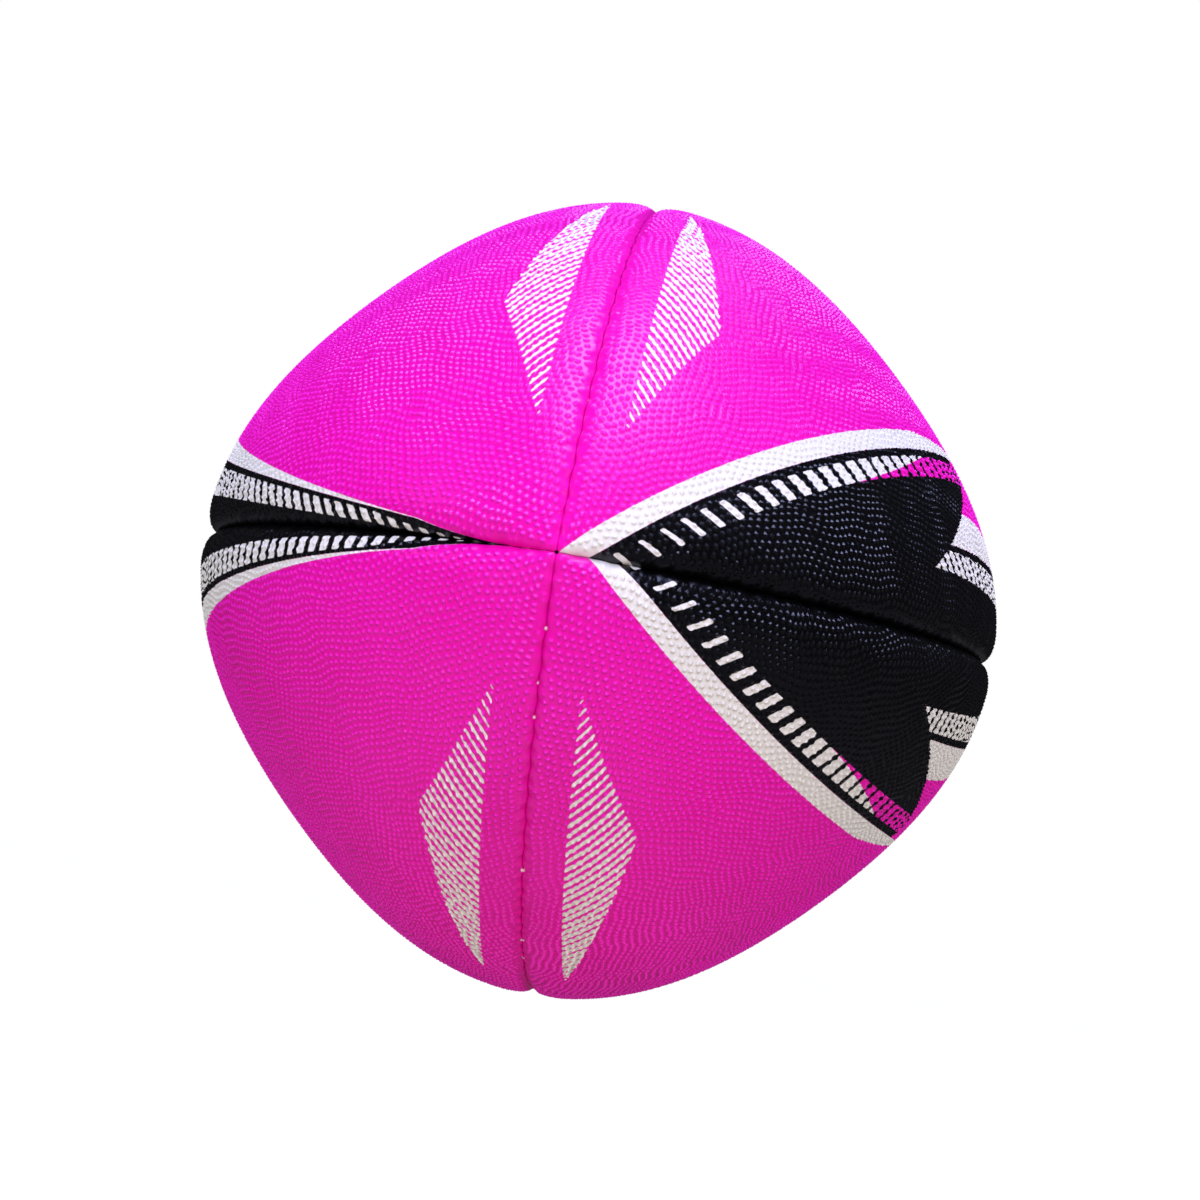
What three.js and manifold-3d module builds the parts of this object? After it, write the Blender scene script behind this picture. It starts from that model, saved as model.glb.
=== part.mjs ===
// A rugby league ball: four pimpled rubber panels on two fabric plies, turned in and sewn along
// four seams round a bladder with a needle valve.
// Millimetres, +Z up. The long axis is Y, the origin is the middle of the ball, and the seams lie
// in the planes X = 0 and Z = 0.
import * as THREE from "three";
import { mergeVertices } from "three/addons/utils/BufferGeometryUtils.js";
import Module from "manifold-3d";

// The outside of the inflated ball.
const BALL_LENGTH = 280; // tip to tip
const ACROSS_SEAMS = 197; // from seam to opposite seam, at mid-length
const ACROSS_PANELS = 184; // from panel middle to opposite panel middle, at mid-length
const TIP_TAPER = 1.16; // 1 gives elliptical ends, more draws them to a point

// The layers of the wall, from outside to inside.
const COVER_THICKNESS = 1.2; // rubber, under the pimples
const COTTON_THICKNESS = 0.4;
const POLYESTER_THICKNESS = 0.4;
const BLADDER_THICKNESS = 0.6;
const LAYER_GAP = 0.3; // adhesive line between layers

// The sewn seam: each panel rolls down to a tight fold, and its edge turns in to be sewn.
const SHOULDER_WIDTH = 8; // from the seam to where the panel starts to roll down
const FOLD_RADIUS = 0.9; // inside the innermost ply
const FLANGE_DEPTH = 4; // edge turned in below the fold
const THREAD_THICKNESS = 0.9;
const THREAD_CLEARANCE = 0.3; // from the thread to each flange
const STITCH_LENGTH = 7.5;
const LOBE_LEAN = 1; // how far the bladder leans away from a flange
const TRIM_MARGIN = 0.3; // room left inside the fold where a pointed panel end is trimmed

// The valve, at mid-length in the middle of the upper left panel.
const STEM_DIAMETER = 9;
const STEM_DEPTH = 11; // from the surface to the inner end
const DISC_DIAMETER = 22; // bonded under the bladder
const DISC_THICKNESS = 1.2;
const CORE_DIAMETER = 4.6;
const CORE_RECESS = 0.4; // below the head of the stem
const LIP_THICKNESS = 1.5; // stops the core at the inner end
const LIP_OPENING = 2.4;
const NEEDLE_DIMPLE_DIAMETER = 2.4;
const NEEDLE_DIMPLE_DEPTH = 1.4;
const VALVE_CLEARANCE = 0.3;

// How finely the curves are stepped.
const LENGTH_STEPS = 10; // along an inner layer between the ends of the bladder; the cover's outside has two for each
const TIP_CROWDING = 0.2; // shortens the steps towards the tips
const COVER_STEPS = { shoulder: 3, crown: 6 }; // across half a panel, on the outside
const COVER_BACK_STEPS = { shoulder: 3, crown: 2 };
const PLY_STEPS = { shoulder: 2, crown: 2 };
const ROUND_STEPS = 16;
const THREAD_SIDES = 3;
const SEAM_SAMPLES = 400; // for measuring the length of a seam

// What follows from the sizes above.
const HALF_LENGTH = BALL_LENGTH / 2;
const MEAN_RADIUS = (ACROSS_SEAMS + ACROSS_PANELS) / 4;
const SQUARENESS = (ACROSS_SEAMS - ACROSS_PANELS) / (ACROSS_SEAMS + ACROSS_PANELS);
const PANELS = 4;
const QUARTER_TURN = Math.PI / 2;
const PANEL_MIDDLE = Math.PI / 4; // angle from a seam to the middle of its panel
const HALF_SEAM = THREAD_THICKNESS / 2 + THREAD_CLEARANCE;

const COVER = { top: 0, bottom: COVER_THICKNESS };
const COTTON = layerUnder(COVER, COTTON_THICKNESS);
const POLYESTER = layerUnder(COTTON, POLYESTER_THICKNESS);
const BLADDER = layerUnder(POLYESTER, BLADDER_THICKNESS);
const FOLD_DEPTH = POLYESTER.bottom + FOLD_RADIUS;
const FLANGE_END = FOLD_DEPTH + FLANGE_DEPTH;
const BRIDGE_DEPTH = FLANGE_END + LAYER_GAP; // where the bladder passes under the flanges

// Share of a narrow panel end that is shoulder; the rest is crown.
const SHOULDER_SHARE = 0.85;
const COVER_END = trimmedStation(COVER.bottom + TRIM_MARGIN);
const PLY_END = trimmedStation(POLYESTER.bottom + TRIM_MARGIN);
const BLADDER_END = trimmedStation(BLADDER.bottom + FOLD_DEPTH);

const wasm = await Module();
wasm.setup();

const RUBBER = { roughness: 0.55, metalness: 0 };
const pinkRubber = new THREE.MeshStandardMaterial({ color: "#f0209c", ...RUBBER });
const naturalLatex = new THREE.MeshStandardMaterial({ color: "#c9a878", ...RUBBER });
const blackRubber = new THREE.MeshStandardMaterial({ color: "#16161a", ...RUBBER });
const greyRubber = new THREE.MeshStandardMaterial({ color: "#3a3a3e", ...RUBBER });
const cottonCloth = new THREE.MeshStandardMaterial({ color: "#e6dfcf", roughness: 0.9 });
const polyesterCloth = new THREE.MeshStandardMaterial({ color: "#d3d6da", roughness: 0.8 });
const waxedThread = new THREE.MeshStandardMaterial({ color: "#eee3e6", roughness: 0.7 });

/** The depths of the next layer in, past the adhesive line. */
function layerUnder(outer, thickness) {
  const top = outer.bottom + LAYER_GAP;
  return { top, bottom: top + thickness };
}

/** The station, an angle from 0 at mid-length to 90 degrees at the tip, where a fold still has this room. */
function trimmedStation(room) {
  const lateral = HALF_SEAM + room / SHOULDER_SHARE;
  const share = lateral / ((ACROSS_PANELS / 2) * Math.sin(PANEL_MIDDLE));
  return Math.acos(share ** (1 / TIP_TAPER));
}

/** Radius of the ball at a station, at an angle round the long axis from a seam. */
function radiusAt(station, angle) {
  const mean = MEAN_RADIUS * Math.cos(station) ** TIP_TAPER;
  return mean * (1 + SQUARENESS * Math.cos(4 * angle));
}

/** A point of the outer surface. */
function surfacePoint(station, angle) {
  const radius = radiusAt(station, angle);
  return new THREE.Vector3(
    radius * Math.cos(angle),
    HALF_LENGTH * Math.sin(station),
    radius * Math.sin(angle),
  );
}

/** Outward normal of the outer surface, from its two slopes. */
function surfaceNormal(station, angle) {
  const radius = radiusAt(station, angle);
  const mean = MEAN_RADIUS * Math.cos(station) ** TIP_TAPER;
  const lengthwise = -TIP_TAPER * Math.tan(station) * radius;
  const crosswise = -4 * mean * SQUARENESS * Math.sin(4 * angle);
  const along = new THREE.Vector3(
    lengthwise * Math.cos(angle),
    HALF_LENGTH * Math.cos(station),
    lengthwise * Math.sin(angle),
  );
  const around = new THREE.Vector3(
    crosswise * Math.cos(angle) - radius * Math.sin(angle),
    0,
    crosswise * Math.sin(angle) + radius * Math.cos(angle),
  );
  return along.cross(around).normalize();
}

/** The angle at which the surface lies this far from the seam's plane. */
function angleAtLateral(station, lateral) {
  let angle = 0;
  for (let pass = 0; pass < 6; pass += 1) {
    angle = Math.asin(Math.min(1, lateral / radiusAt(station, angle)));
  }
  return angle;
}

/** Width of the rolled shoulder, which narrows with the panel towards the tips. */
function shoulderWidthAt(station) {
  const room = radiusAt(station, PANEL_MIDDLE) * Math.sin(PANEL_MIDDLE) - HALF_SEAM;
  return Math.min(SHOULDER_WIDTH, SHOULDER_SHARE * room);
}

/** A point this far from the seam's plane and this deep; turn 0 sinks square to the seam, 1 to the crown. */
function sunkPoint(station, lateral, depth, turn) {
  const angle = angleAtLateral(station, lateral);
  const inward = surfaceNormal(station, 0).lerp(surfaceNormal(station, angle), turn);
  return surfacePoint(station, angle).addScaledVector(inward.normalize(), -depth);
}

/** A point of the rolled shoulder: a quarter ellipse, from the fold at roll 0 to the crown at 90 degrees. */
function shoulderPoint(station, depth, roll) {
  const width = shoulderWidthAt(station);
  const lateral = HALF_SEAM + width - (width - depth) * Math.cos(roll);
  const sunk = FOLD_DEPTH - (FOLD_DEPTH - depth) * Math.sin(roll);
  return sunkPoint(station, lateral, sunk, Math.sin(roll) ** 2);
}

/** A point of the crown, from the shoulder (share 0) to the middle of the panel (share 1). */
function crownPoint(station, depth, share) {
  const start = angleAtLateral(station, HALF_SEAM + shoulderWidthAt(station));
  const angle = THREE.MathUtils.lerp(start, PANEL_MIDDLE, share);
  return surfacePoint(station, angle).addScaledVector(surfaceNormal(station, angle), -depth);
}

/** Half of a panel's section at one depth: turned-in edge, fold, shoulder and crown. */
function halfSection(station, depth, steps) {
  const points = [sunkPoint(station, HALF_SEAM + depth, FLANGE_END, 0)];
  for (let k = 0; k <= steps.shoulder; k += 1) {
    points.push(shoulderPoint(station, depth, (QUARTER_TURN * k) / steps.shoulder));
  }
  for (let k = 1; k <= steps.crown; k += 1) {
    points.push(crownPoint(station, depth, k / steps.crown));
  }
  return points;
}

/** The other half is the mirror image in the panel's middle, which swaps X and Z. */
function wholeSection(half) {
  const mirrored = half.slice(0, -1).reverse();
  return [...half, ...mirrored.map((point) => new THREE.Vector3(point.z, point.y, point.x))];
}

/** Stations shared by every layer, closer together towards the tips, with the ends of the layers added. */
function stationsTo(...ends) {
  const stations = [];
  for (let k = 0; k <= LENGTH_STEPS; k += 1) {
    const share = (2 * k) / LENGTH_STEPS - 1;
    stations.push(BLADDER_END * share * (1 + TIP_CROWDING * (1 - share ** 2)));
  }
  for (const end of ends) {
    stations.unshift(-end);
    stations.push(end);
  }
  return stations;
}

/** The same stations, with one more between each two. */
function refined(stations) {
  return stations.flatMap((station, k) => (k ? [(stations[k - 1] + station) / 2, station] : [station]));
}

/** An indexed geometry from points and triangles. */
function geometryOf(points, triangles) {
  const geometry = new THREE.BufferGeometry().setFromPoints(points);
  geometry.setIndex(triangles.flat());
  return geometry;
}

/** Triangles of a grid of rows by columns of points, facing the side that rows x columns points to. */
function gridTriangles(rows, columns, closed) {
  const triangles = [];
  const spans = closed ? columns : columns - 1;
  for (let row = 0; row < rows - 1; row += 1) {
    for (let column = 0; column < spans; column += 1) {
      const next = (column + 1) % columns;
      const here = row * columns;
      const above = here + columns;
      triangles.push([here + column, above + column, above + next]);
      triangles.push([here + column, above + next, here + next]);
    }
  }
  return triangles;
}

/** The corner-to-corner rim of a grid, in the direction in which its triangles run. */
function gridRim(rows, columns) {
  const rim = [];
  for (let row = 0; row < rows - 1; row += 1) {
    rim.push(row * columns);
  }
  for (let column = 0; column < columns - 1; column += 1) {
    rim.push((rows - 1) * columns + column);
  }
  for (let row = rows - 1; row > 0; row -= 1) {
    rim.push(row * columns + columns - 1);
  }
  for (let column = columns - 1; column > 0; column -= 1) {
    rim.push(column);
  }
  return rim;
}

/** For each column of a section, the column beside it in a section with more crown steps. */
function columnsBeside(coarse, fine) {
  const fold = coarse.shoulder + 1;
  const ratio = fine.crown / coarse.crown;
  const half = Array.from({ length: fold + coarse.crown + 1 }, (_, k) => (k < fold ? k : fold + (k - fold) * ratio));
  const last = 2 * half[half.length - 1];
  return [...half, ...half.slice(0, -1).reverse().map((column) => last - column)];
}

/** One layer of one panel: its outer and inner surfaces, each with its own stations and steps, joined round the rim. */
function layerGeometry(layer, outside, inside = outside) {
  const outer = outside.stations.map((station) => wholeSection(halfSection(station, layer.top, outside.steps)));
  const inner = inside.stations.map((station) => wholeSection(halfSection(station, layer.bottom, inside.steps)));
  const columns = outer[0].length;
  const backColumns = inner[0].length;
  const count = outer.length * columns;
  const faces = gridTriangles(outer.length, columns, false);
  const back = gridTriangles(inner.length, backColumns, false).map(([a, b, c]) => [count + a, count + c, count + b]);
  const rim = gridRim(outer.length, columns);
  const backRim = gridRim(inner.length, backColumns);
  const rowBeside = inside.stations.map((station) => outside.stations.indexOf(station));
  const columnBeside = columnsBeside(inside.steps, outside.steps);
  const beside = backRim.map((k) => {
    const row = rowBeside[Math.floor(k / backColumns)];
    return rim.indexOf(row * columns + columnBeside[k % backColumns]);
  });
  const edge = backRim.flatMap((point, k) => {
    const from = beside[k];
    const to = beside[k + 1] ?? rim.length;
    const fan = [];
    for (let step = from; step < to; step += 1) {
      fan.push([rim[(step + 1) % rim.length], rim[step], count + point]);
    }
    const next = backRim[(k + 1) % backRim.length];
    return [...fan, [rim[to % rim.length], count + point, count + next]];
  });
  return geometryOf([...outer.flat(), ...inner.flat()], [...faces, ...back, ...edge]);
}

/** Half of the bladder's section in one panel: under the flange, up beside it, and along the crown. */
function lobeHalf(station, depth, flat) {
  const bridge = BRIDGE_DEPTH + depth - BLADDER.top;
  const edge = HALF_SEAM + depth;
  const wallTop = flat ? bridge : FOLD_DEPTH + depth - BLADDER.top;
  const points = [
    sunkPoint(station, edge, bridge, 0),
    sunkPoint(station, edge + LOBE_LEAN, wallTop, 0),
  ];
  for (let k = 0; k <= PLY_STEPS.crown; k += 1) {
    points.push(crownPoint(station, flat ? bridge : depth, k / PLY_STEPS.crown));
  }
  return points;
}

/** A closed body lofted through the bladder's sections at one depth, with both ends drawn to the axis. */
function lobedBody(depth) {
  const stations = stationsTo();
  const last = stations.length - 1;
  const rings = stations.map((station, k) => {
    const panel = wholeSection(lobeHalf(station, depth, k === 0 || k === last));
    const turns = Array.from({ length: PANELS }, (_, turn) => turnedPoints(panel, turn));
    return turns.flat();
  });
  const columns = rings[0].length;
  const points = rings.flat();
  const triangles = gridTriangles(rings.length, columns, true);
  const nearEnd = points.push(new THREE.Vector3(0, rings[0][0].y, 0)) - 1;
  const farEnd = points.push(new THREE.Vector3(0, rings[last][0].y, 0)) - 1;
  for (let column = 0; column < columns; column += 1) {
    const next = (column + 1) % columns;
    const far = last * columns;
    triangles.push([column, next, nearEnd]);
    triangles.push([far + next, far + column, farEnd]);
  }
  return geometryOf(points, triangles);
}

/** Points turned about the long axis by whole panels. */
function turnedPoints(points, turns) {
  const axis = new THREE.Vector3(0, 1, 0);
  return points.map((point) => point.clone().applyAxisAngle(axis, -turns * QUARTER_TURN));
}

/** A point at the bottom of the fold, in the seam's plane. */
function foldPoint(station) {
  return sunkPoint(station, 0, FOLD_DEPTH, 0);
}

/** Stations from one end of the seam to the other, an equal length of seam apart. */
function evenStations(end, spacing) {
  const samples = Array.from({ length: SEAM_SAMPLES + 1 }, (_, k) => end * ((2 * k) / SEAM_SAMPLES - 1));
  const lengths = [0];
  for (let k = 1; k <= SEAM_SAMPLES; k += 1) {
    lengths.push(lengths[k - 1] + foldPoint(samples[k]).distanceTo(foldPoint(samples[k - 1])));
  }
  const steps = 2 * Math.round(lengths[SEAM_SAMPLES] / spacing / 2);
  return Array.from({ length: steps + 1 }, (_, step) => {
    const wanted = (lengths[SEAM_SAMPLES] * step) / steps;
    const k = Math.max(1, lengths.findIndex((length) => length >= wanted));
    const share = (wanted - lengths[k - 1]) / (lengths[k] - lengths[k - 1]);
    return THREE.MathUtils.lerp(samples[k - 1], samples[k], share);
  });
}

/** The sewing thread of one seam: it weaves between the fold and the free edge of the flanges. */
function threadGeometry() {
  const half = THREAD_THICKNESS / 2;
  const shallow = FOLD_DEPTH + half;
  const deep = FLANGE_END - half;
  const stations = evenStations(PLY_END, STITCH_LENGTH);
  const rows = stations.length;
  const points = stations.flatMap((station, k) => {
    const outward = surfaceNormal(station, 0);
    const middle = sunkPoint(station, 0, k % 2 ? shallow : deep, 0);
    const base = middle.clone().addScaledVector(outward, -half);
    const side = new THREE.Vector3(0, 0, half);
    return [middle.addScaledVector(outward, half), base.clone().add(side), base.sub(side)];
  });
  const end = THREAD_SIDES * (rows - 1);
  const caps = [
    [0, 1, 2],
    [end, end + 2, end + 1],
  ];
  return geometryOf(points, [...gridTriangles(rows, THREAD_SIDES, true), ...caps]);
}

/** A closed geometry as a solid that can be cut. */
function solidOf(geometry) {
  const bare = geometry.clone();
  bare.deleteAttribute("normal");
  bare.deleteAttribute("uv");
  const merged = mergeVertices(bare);
  return new wasm.Manifold(
    new wasm.Mesh({
      numProp: 3,
      vertProperties: new Float32Array(merged.attributes.position.array),
      triVerts: new Uint32Array(merged.index.array),
    }),
  );
}

/** A cut solid as a geometry again. */
function geometryFrom(solid) {
  const mesh = solid.getMesh();
  const geometry = new THREE.BufferGeometry();
  geometry.setAttribute("position", new THREE.BufferAttribute(mesh.vertProperties, 3));
  geometry.setIndex(new THREE.BufferAttribute(mesh.triVerts, 1));
  return geometry;
}

/** What a layer falls away over the radius of the valve's disc, going by the steps that meet under it. */
function fallUnderDisc() {
  const middle = crownPoint(0, BLADDER.bottom, 1);
  const outward = surfaceNormal(0, PANEL_MIDDLE);
  const stations = stationsTo();
  const beside = [
    crownPoint(stations[LENGTH_STEPS / 2 + 1], BLADDER.bottom, 1),
    crownPoint(0, BLADDER.bottom, 1 - 1 / PLY_STEPS.crown),
  ];
  const slopes = beside.map((point) => {
    const step = point.clone().sub(middle);
    const fall = -step.dot(outward);
    return fall / Math.sqrt(step.lengthSq() - fall ** 2);
  });
  return Math.hypot(...slopes) * (DISC_DIAMETER / 2);
}

/** A turned piece from its profile of radius and height, listed up the outside and down the inside. */
function turnedGeometry(profile) {
  const outline = profile.map(([radius, height]) => new THREE.Vector2(radius, height));
  return new THREE.LatheGeometry(outline, ROUND_STEPS);
}

/** The moulded housing: a stem with the core's bore and a lip, and the disc bonded under the bladder. */
function valveHousing() {
  const stem = STEM_DIAMETER / 2;
  const disc = DISC_DIAMETER / 2;
  const bore = CORE_DIAMETER / 2 + VALVE_CLEARANCE;
  const opening = LIP_OPENING / 2;
  const discTop = -(BLADDER.bottom + fallUnderDisc() + VALVE_CLEARANCE);
  const discBottom = discTop - DISC_THICKNESS;
  const lipTop = LIP_THICKNESS - STEM_DEPTH;
  return turnedGeometry([
    [opening, -STEM_DEPTH],
    [stem, -STEM_DEPTH],
    [stem, discBottom],
    [disc, discBottom],
    [disc, discTop],
    [stem, discTop],
    [stem, 0],
    [bore, 0],
    [bore, lipTop],
    [opening, lipTop],
    [opening, -STEM_DEPTH],
  ]);
}

/** The soft plug that the needle goes through, with a dimple to lead it in. */
function valveCore() {
  const radius = CORE_DIAMETER / 2;
  const bottom = LIP_THICKNESS - STEM_DEPTH + VALVE_CLEARANCE;
  return turnedGeometry([
    [0, bottom],
    [radius, bottom],
    [radius, -CORE_RECESS],
    [NEEDLE_DIMPLE_DIAMETER / 2, -CORE_RECESS],
    [0, -CORE_RECESS - NEEDLE_DIMPLE_DEPTH],
  ]);
}

/** A named mesh. */
function piece(name, geometry, material) {
  const mesh = new THREE.Mesh(geometry, material);
  mesh.name = name;
  return mesh;
}

// The valve's place, in the frame of the panel that carries it.
const valveOutward = surfaceNormal(0, PANEL_MIDDLE);
const valve = new THREE.Group();
valve.position.copy(surfacePoint(0, PANEL_MIDDLE));
valve.quaternion.setFromUnitVectors(new THREE.Vector3(0, 1, 0), valveOutward);
valve.updateMatrix();
valve.add(piece("valve_housing", valveHousing(), blackRubber));
valve.add(piece("valve_core", valveCore(), greyRubber));

const holeRadius = STEM_DIAMETER / 2 + VALVE_CLEARANCE;
const holeTool = new THREE.CylinderGeometry(holeRadius, holeRadius, 2 * STEM_DEPTH, ROUND_STEPS);
const valveHole = solidOf(holeTool.applyMatrix4(valve.matrix));

/** A layer with the valve's hole through it. */
function pierced(geometry) {
  return geometryFrom(solidOf(geometry).subtract(valveHole));
}

const ball = new THREE.Group();
const panelNames = ["upper_right", "upper_left", "lower_left", "lower_right"];
const seamNames = ["right", "top", "left", "bottom"];
const valvePanel = panelNames.indexOf("upper_left");

const coverStations = stationsTo(PLY_END, COVER_END);
const coverOutside = { stations: refined(coverStations), steps: COVER_STEPS };
const coverInside = { stations: coverStations, steps: COVER_BACK_STEPS };
const plyGrid = { stations: stationsTo(PLY_END), steps: PLY_STEPS };
const layers = [
  ["cover_panel", layerGeometry(COVER, coverOutside, coverInside), pinkRubber],
  ["cotton_ply", layerGeometry(COTTON, plyGrid), cottonCloth],
  ["polyester_ply", layerGeometry(POLYESTER, plyGrid), polyesterCloth],
];
const thread = threadGeometry();

for (let turn = 0; turn < PANELS; turn += 1) {
  const quarter = new THREE.Group();
  quarter.rotation.y = -turn * QUARTER_TURN;
  for (const [layerName, geometry, material] of layers) {
    const shape = turn === valvePanel ? pierced(geometry) : geometry;
    quarter.add(piece(`${layerName}_${panelNames[turn]}`, shape, material));
  }
  quarter.add(piece(`seam_thread_${seamNames[turn]}`, thread, waxedThread));
  if (turn === valvePanel) {
    quarter.add(valve);
  }
  ball.add(quarter);
}

// The bladder carries the valve, so it is made in the same turned frame as that panel.
const bladderShell = solidOf(lobedBody(BLADDER.top)).subtract(solidOf(lobedBody(BLADDER.bottom)));
const bladder = piece("bladder", geometryFrom(bladderShell.subtract(valveHole)), naturalLatex);
bladder.rotation.y = -valvePanel * QUARTER_TURN;
ball.add(bladder);

export default ball;
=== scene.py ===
# %% [markdown]
# A sewn rugby league ball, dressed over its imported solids.
# The ball is four pimpled rubber panels, each backed with a cotton and a polyester ply, turned in
# and sewn along four seams round a latex bladder with a needle valve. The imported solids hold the
# sizes, and this lesson gives every piece its finished surface, print and light.

import bpy
import numpy as np
from mathutils import Matrix, Vector
from mathutils.geometry import delaunay_2d_cdt


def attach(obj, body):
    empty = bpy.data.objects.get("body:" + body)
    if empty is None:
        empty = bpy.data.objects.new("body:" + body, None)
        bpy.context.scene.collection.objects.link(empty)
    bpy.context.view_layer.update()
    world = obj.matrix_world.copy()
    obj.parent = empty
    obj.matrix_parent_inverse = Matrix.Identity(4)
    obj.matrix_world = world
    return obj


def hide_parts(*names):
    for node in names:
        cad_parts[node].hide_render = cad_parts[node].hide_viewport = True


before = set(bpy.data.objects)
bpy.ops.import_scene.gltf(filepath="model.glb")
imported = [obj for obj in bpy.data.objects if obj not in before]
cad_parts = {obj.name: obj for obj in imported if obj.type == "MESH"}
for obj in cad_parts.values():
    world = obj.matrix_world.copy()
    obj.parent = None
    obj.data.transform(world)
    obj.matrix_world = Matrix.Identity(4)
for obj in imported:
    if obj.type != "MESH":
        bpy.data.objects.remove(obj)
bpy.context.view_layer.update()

# %% [markdown]
# The outside of the ball is one formula. A station runs from -90 degrees at the near tip, through 0
# at mid-length, to 90 degrees at the far tip. An angle runs round the long axis from the right-hand
# seam. The radius is a mean radius that shrinks towards the tips, swelled at the four seams.

# %% Sizes of the ball, in millimetres, as in the part's source
HALF_LENGTH = 140.0
MEAN_RADIUS = 95.25
SQUARENESS = 0.0341  # how far the seams stand out and the panels lie in, as a share of the radius
TIP_TAPER = 1.16  # 1 gives elliptical ends, more draws them to a point
QUARTER = np.pi / 2
MIDDLE = np.pi / 4  # angle from a seam to the middle of its panel
METRES = 0.001


def mean_radius(station):
    """Mean radius times the cosine of the station to the power of the taper."""
    return MEAN_RADIUS * np.cos(station) ** TIP_TAPER


def ball_point(station, angle):
    """The mean radius swelled by cos(4 angle), turned round Y; Y is the half length times sin(station)."""
    radius = mean_radius(station) * (1 + SQUARENESS * np.cos(4 * angle))
    return np.stack(
        [radius * np.cos(angle), HALF_LENGTH * np.sin(station), radius * np.sin(angle)], -1
    )


def unit(vectors):
    """Each vector divided by its length."""
    return vectors / np.linalg.norm(vectors, axis=-1, keepdims=True)


def ball_normal(station, angle):
    """The slope along the ball crossed with the slope round it, both from small differences."""
    step = 1e-4
    along = ball_point(station + step, angle) - ball_point(station - step, angle)
    around = ball_point(station, angle + step) - ball_point(station, angle - step)
    return unit(np.cross(along, around))


def seam_lateral(station, angle):
    """Distance of a surface point from the plane of the seam at angle 0: radius times sin(angle)."""
    return mean_radius(station) * (1 + SQUARENESS * np.cos(4 * angle)) * np.sin(angle)


print("girth at mid-length about", round(2 * np.pi * MEAN_RADIUS), "mm")

# %% [markdown]
# A panel is cut flat and laid on the ball, so its pimples and its print are worked out on a flat
# sheet first. Near any point of the middle line the ball is close to a cone, and a cone unrolls
# without stretch: this lays a flat point on the ball through the cone at that place.

# %% From the flat sheet to the ball
LINE_SAMPLES = 4001
LEAST_SLOPE = 1e-6  # keeps a cone's apex within reach at mid-length, where the ball is a cylinder


def length_along(points):
    """Running length of a line of points: the sum of its steps so far."""
    steps = np.linalg.norm(np.diff(points, axis=0), axis=1)
    return np.concatenate([[0.0], np.cumsum(steps)])


line_stations = np.linspace(-QUARTER, QUARTER, LINE_SAMPLES)
line_length = length_along(ball_point(line_stations, np.full_like(line_stations, MIDDLE)))
line_length = line_length - line_length[-1] / 2  # 0 at mid-length
line_radius = mean_radius(line_stations)
line_slope = np.gradient(line_radius, line_length)


def lay_on_ball(x, y):
    """Flat x runs along the middle line and y across it. The cone's apex lies radius / slope away, so
    the point goes to its distance from that apex, and round by arc length over radius."""
    radius = np.interp(x, line_length, line_radius)
    slope = np.interp(x, line_length, line_slope)
    apex = radius / np.maximum(np.abs(slope), LEAST_SLOPE)
    reach = np.hypot(apex, y)
    along = x + np.sign(slope) * y**2 / (reach + apex)
    station = np.interp(along, line_length, line_stations)
    offset = reach * np.arctan2(y, apex) / np.interp(along, line_length, line_radius)
    return station, offset


print("middle line of a panel:", round(2 * line_length[-1]), "mm")

# %% [markdown]
# Along a seam every layer rolls over a rounded shoulder into a tight fold, and its edge turns in as
# a flange where the thread runs. The shoulder is a quarter ellipse. It narrows with the panel
# towards the tips. Each stitch pulls a small pucker into it, and the stitches pull the seam to one
# side and the other in turn. The two printed seams were drawn in further than the two plain ones.

# %% Sizes of a seam
SEAM_GAP = 0.012  # from the seam's line to the fold of a panel
SEAM_WANDER = 0.15  # how far the stitches pull the seam to either side
SHOULDER_WIDTH = 8.0
SHOULDER_SHARE = 0.85  # of half a narrow panel end
PLAIN_FOLD, PRINTED_FOLD = 1.8, 3.6
FLANGE_DEPTH = 4.0
STITCH_LENGTH = 4.2
PUCKER_DEPTH = 0.5
PUCKER_REACH = 1.3

seam_length = length_along(ball_point(line_stations, np.zeros_like(line_stations)))
SEAM_TOTAL = seam_length[-1]
STITCHES = round(SEAM_TOTAL / STITCH_LENGTH)
print("seam:", round(SEAM_TOTAL), "mm,", STITCHES, "stitches")

# %% Width and depth of the shoulder
THINNED_SHARE = 0.45  # of the shoulder's width: no layer lies deeper than this in a pointed end
NARROWING_POWER = 0.6


def along_seam(station):
    """Length of seam from the near tip."""
    return np.interp(station, line_stations, seam_length)


def shoulder_width(station):
    """The full width, or a share of half the panel where the panel is narrow."""
    room = seam_lateral(station, np.full_like(station, MIDDLE)) - SEAM_GAP
    return np.minimum(SHOULDER_WIDTH, SHOULDER_SHARE * room)


def seam_gap(station, side):
    """The gap, plus or minus a cosine that swings once in two stitches and fades in the narrow ends."""
    swing = SEAM_WANDER * np.cos(np.pi * along_seam(station) / STITCH_LENGTH)
    return SEAM_GAP - np.sign(side) * swing * (shoulder_width(station) / SHOULDER_WIDTH) ** 2


def thinned(station, depth):
    """A depth below the surface, less where the pointed end of a panel has no room for it."""
    return np.minimum(depth, THINNED_SHARE * shoulder_width(station))


def narrowing(station):
    """1 at full width, less where the shoulder narrows: its share of the full width, to a power."""
    return (shoulder_width(station) / SHOULDER_WIDTH) ** NARROWING_POWER


def fold_depth(station, printed):
    """The full fold of a printed or a plain seam, shallower where the shoulder narrows."""
    return np.where(printed, PRINTED_FOLD, PLAIN_FOLD) * narrowing(station)


def pucker(station, lateral):
    """A cosine along the seam with one dip at each stitch, fading away from the seam."""
    wave = 0.5 + 0.5 * np.cos(2 * np.pi * along_seam(station) / STITCH_LENGTH)
    return PUCKER_DEPTH * wave * np.exp(-((lateral / PUCKER_REACH) ** 2))


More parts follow.
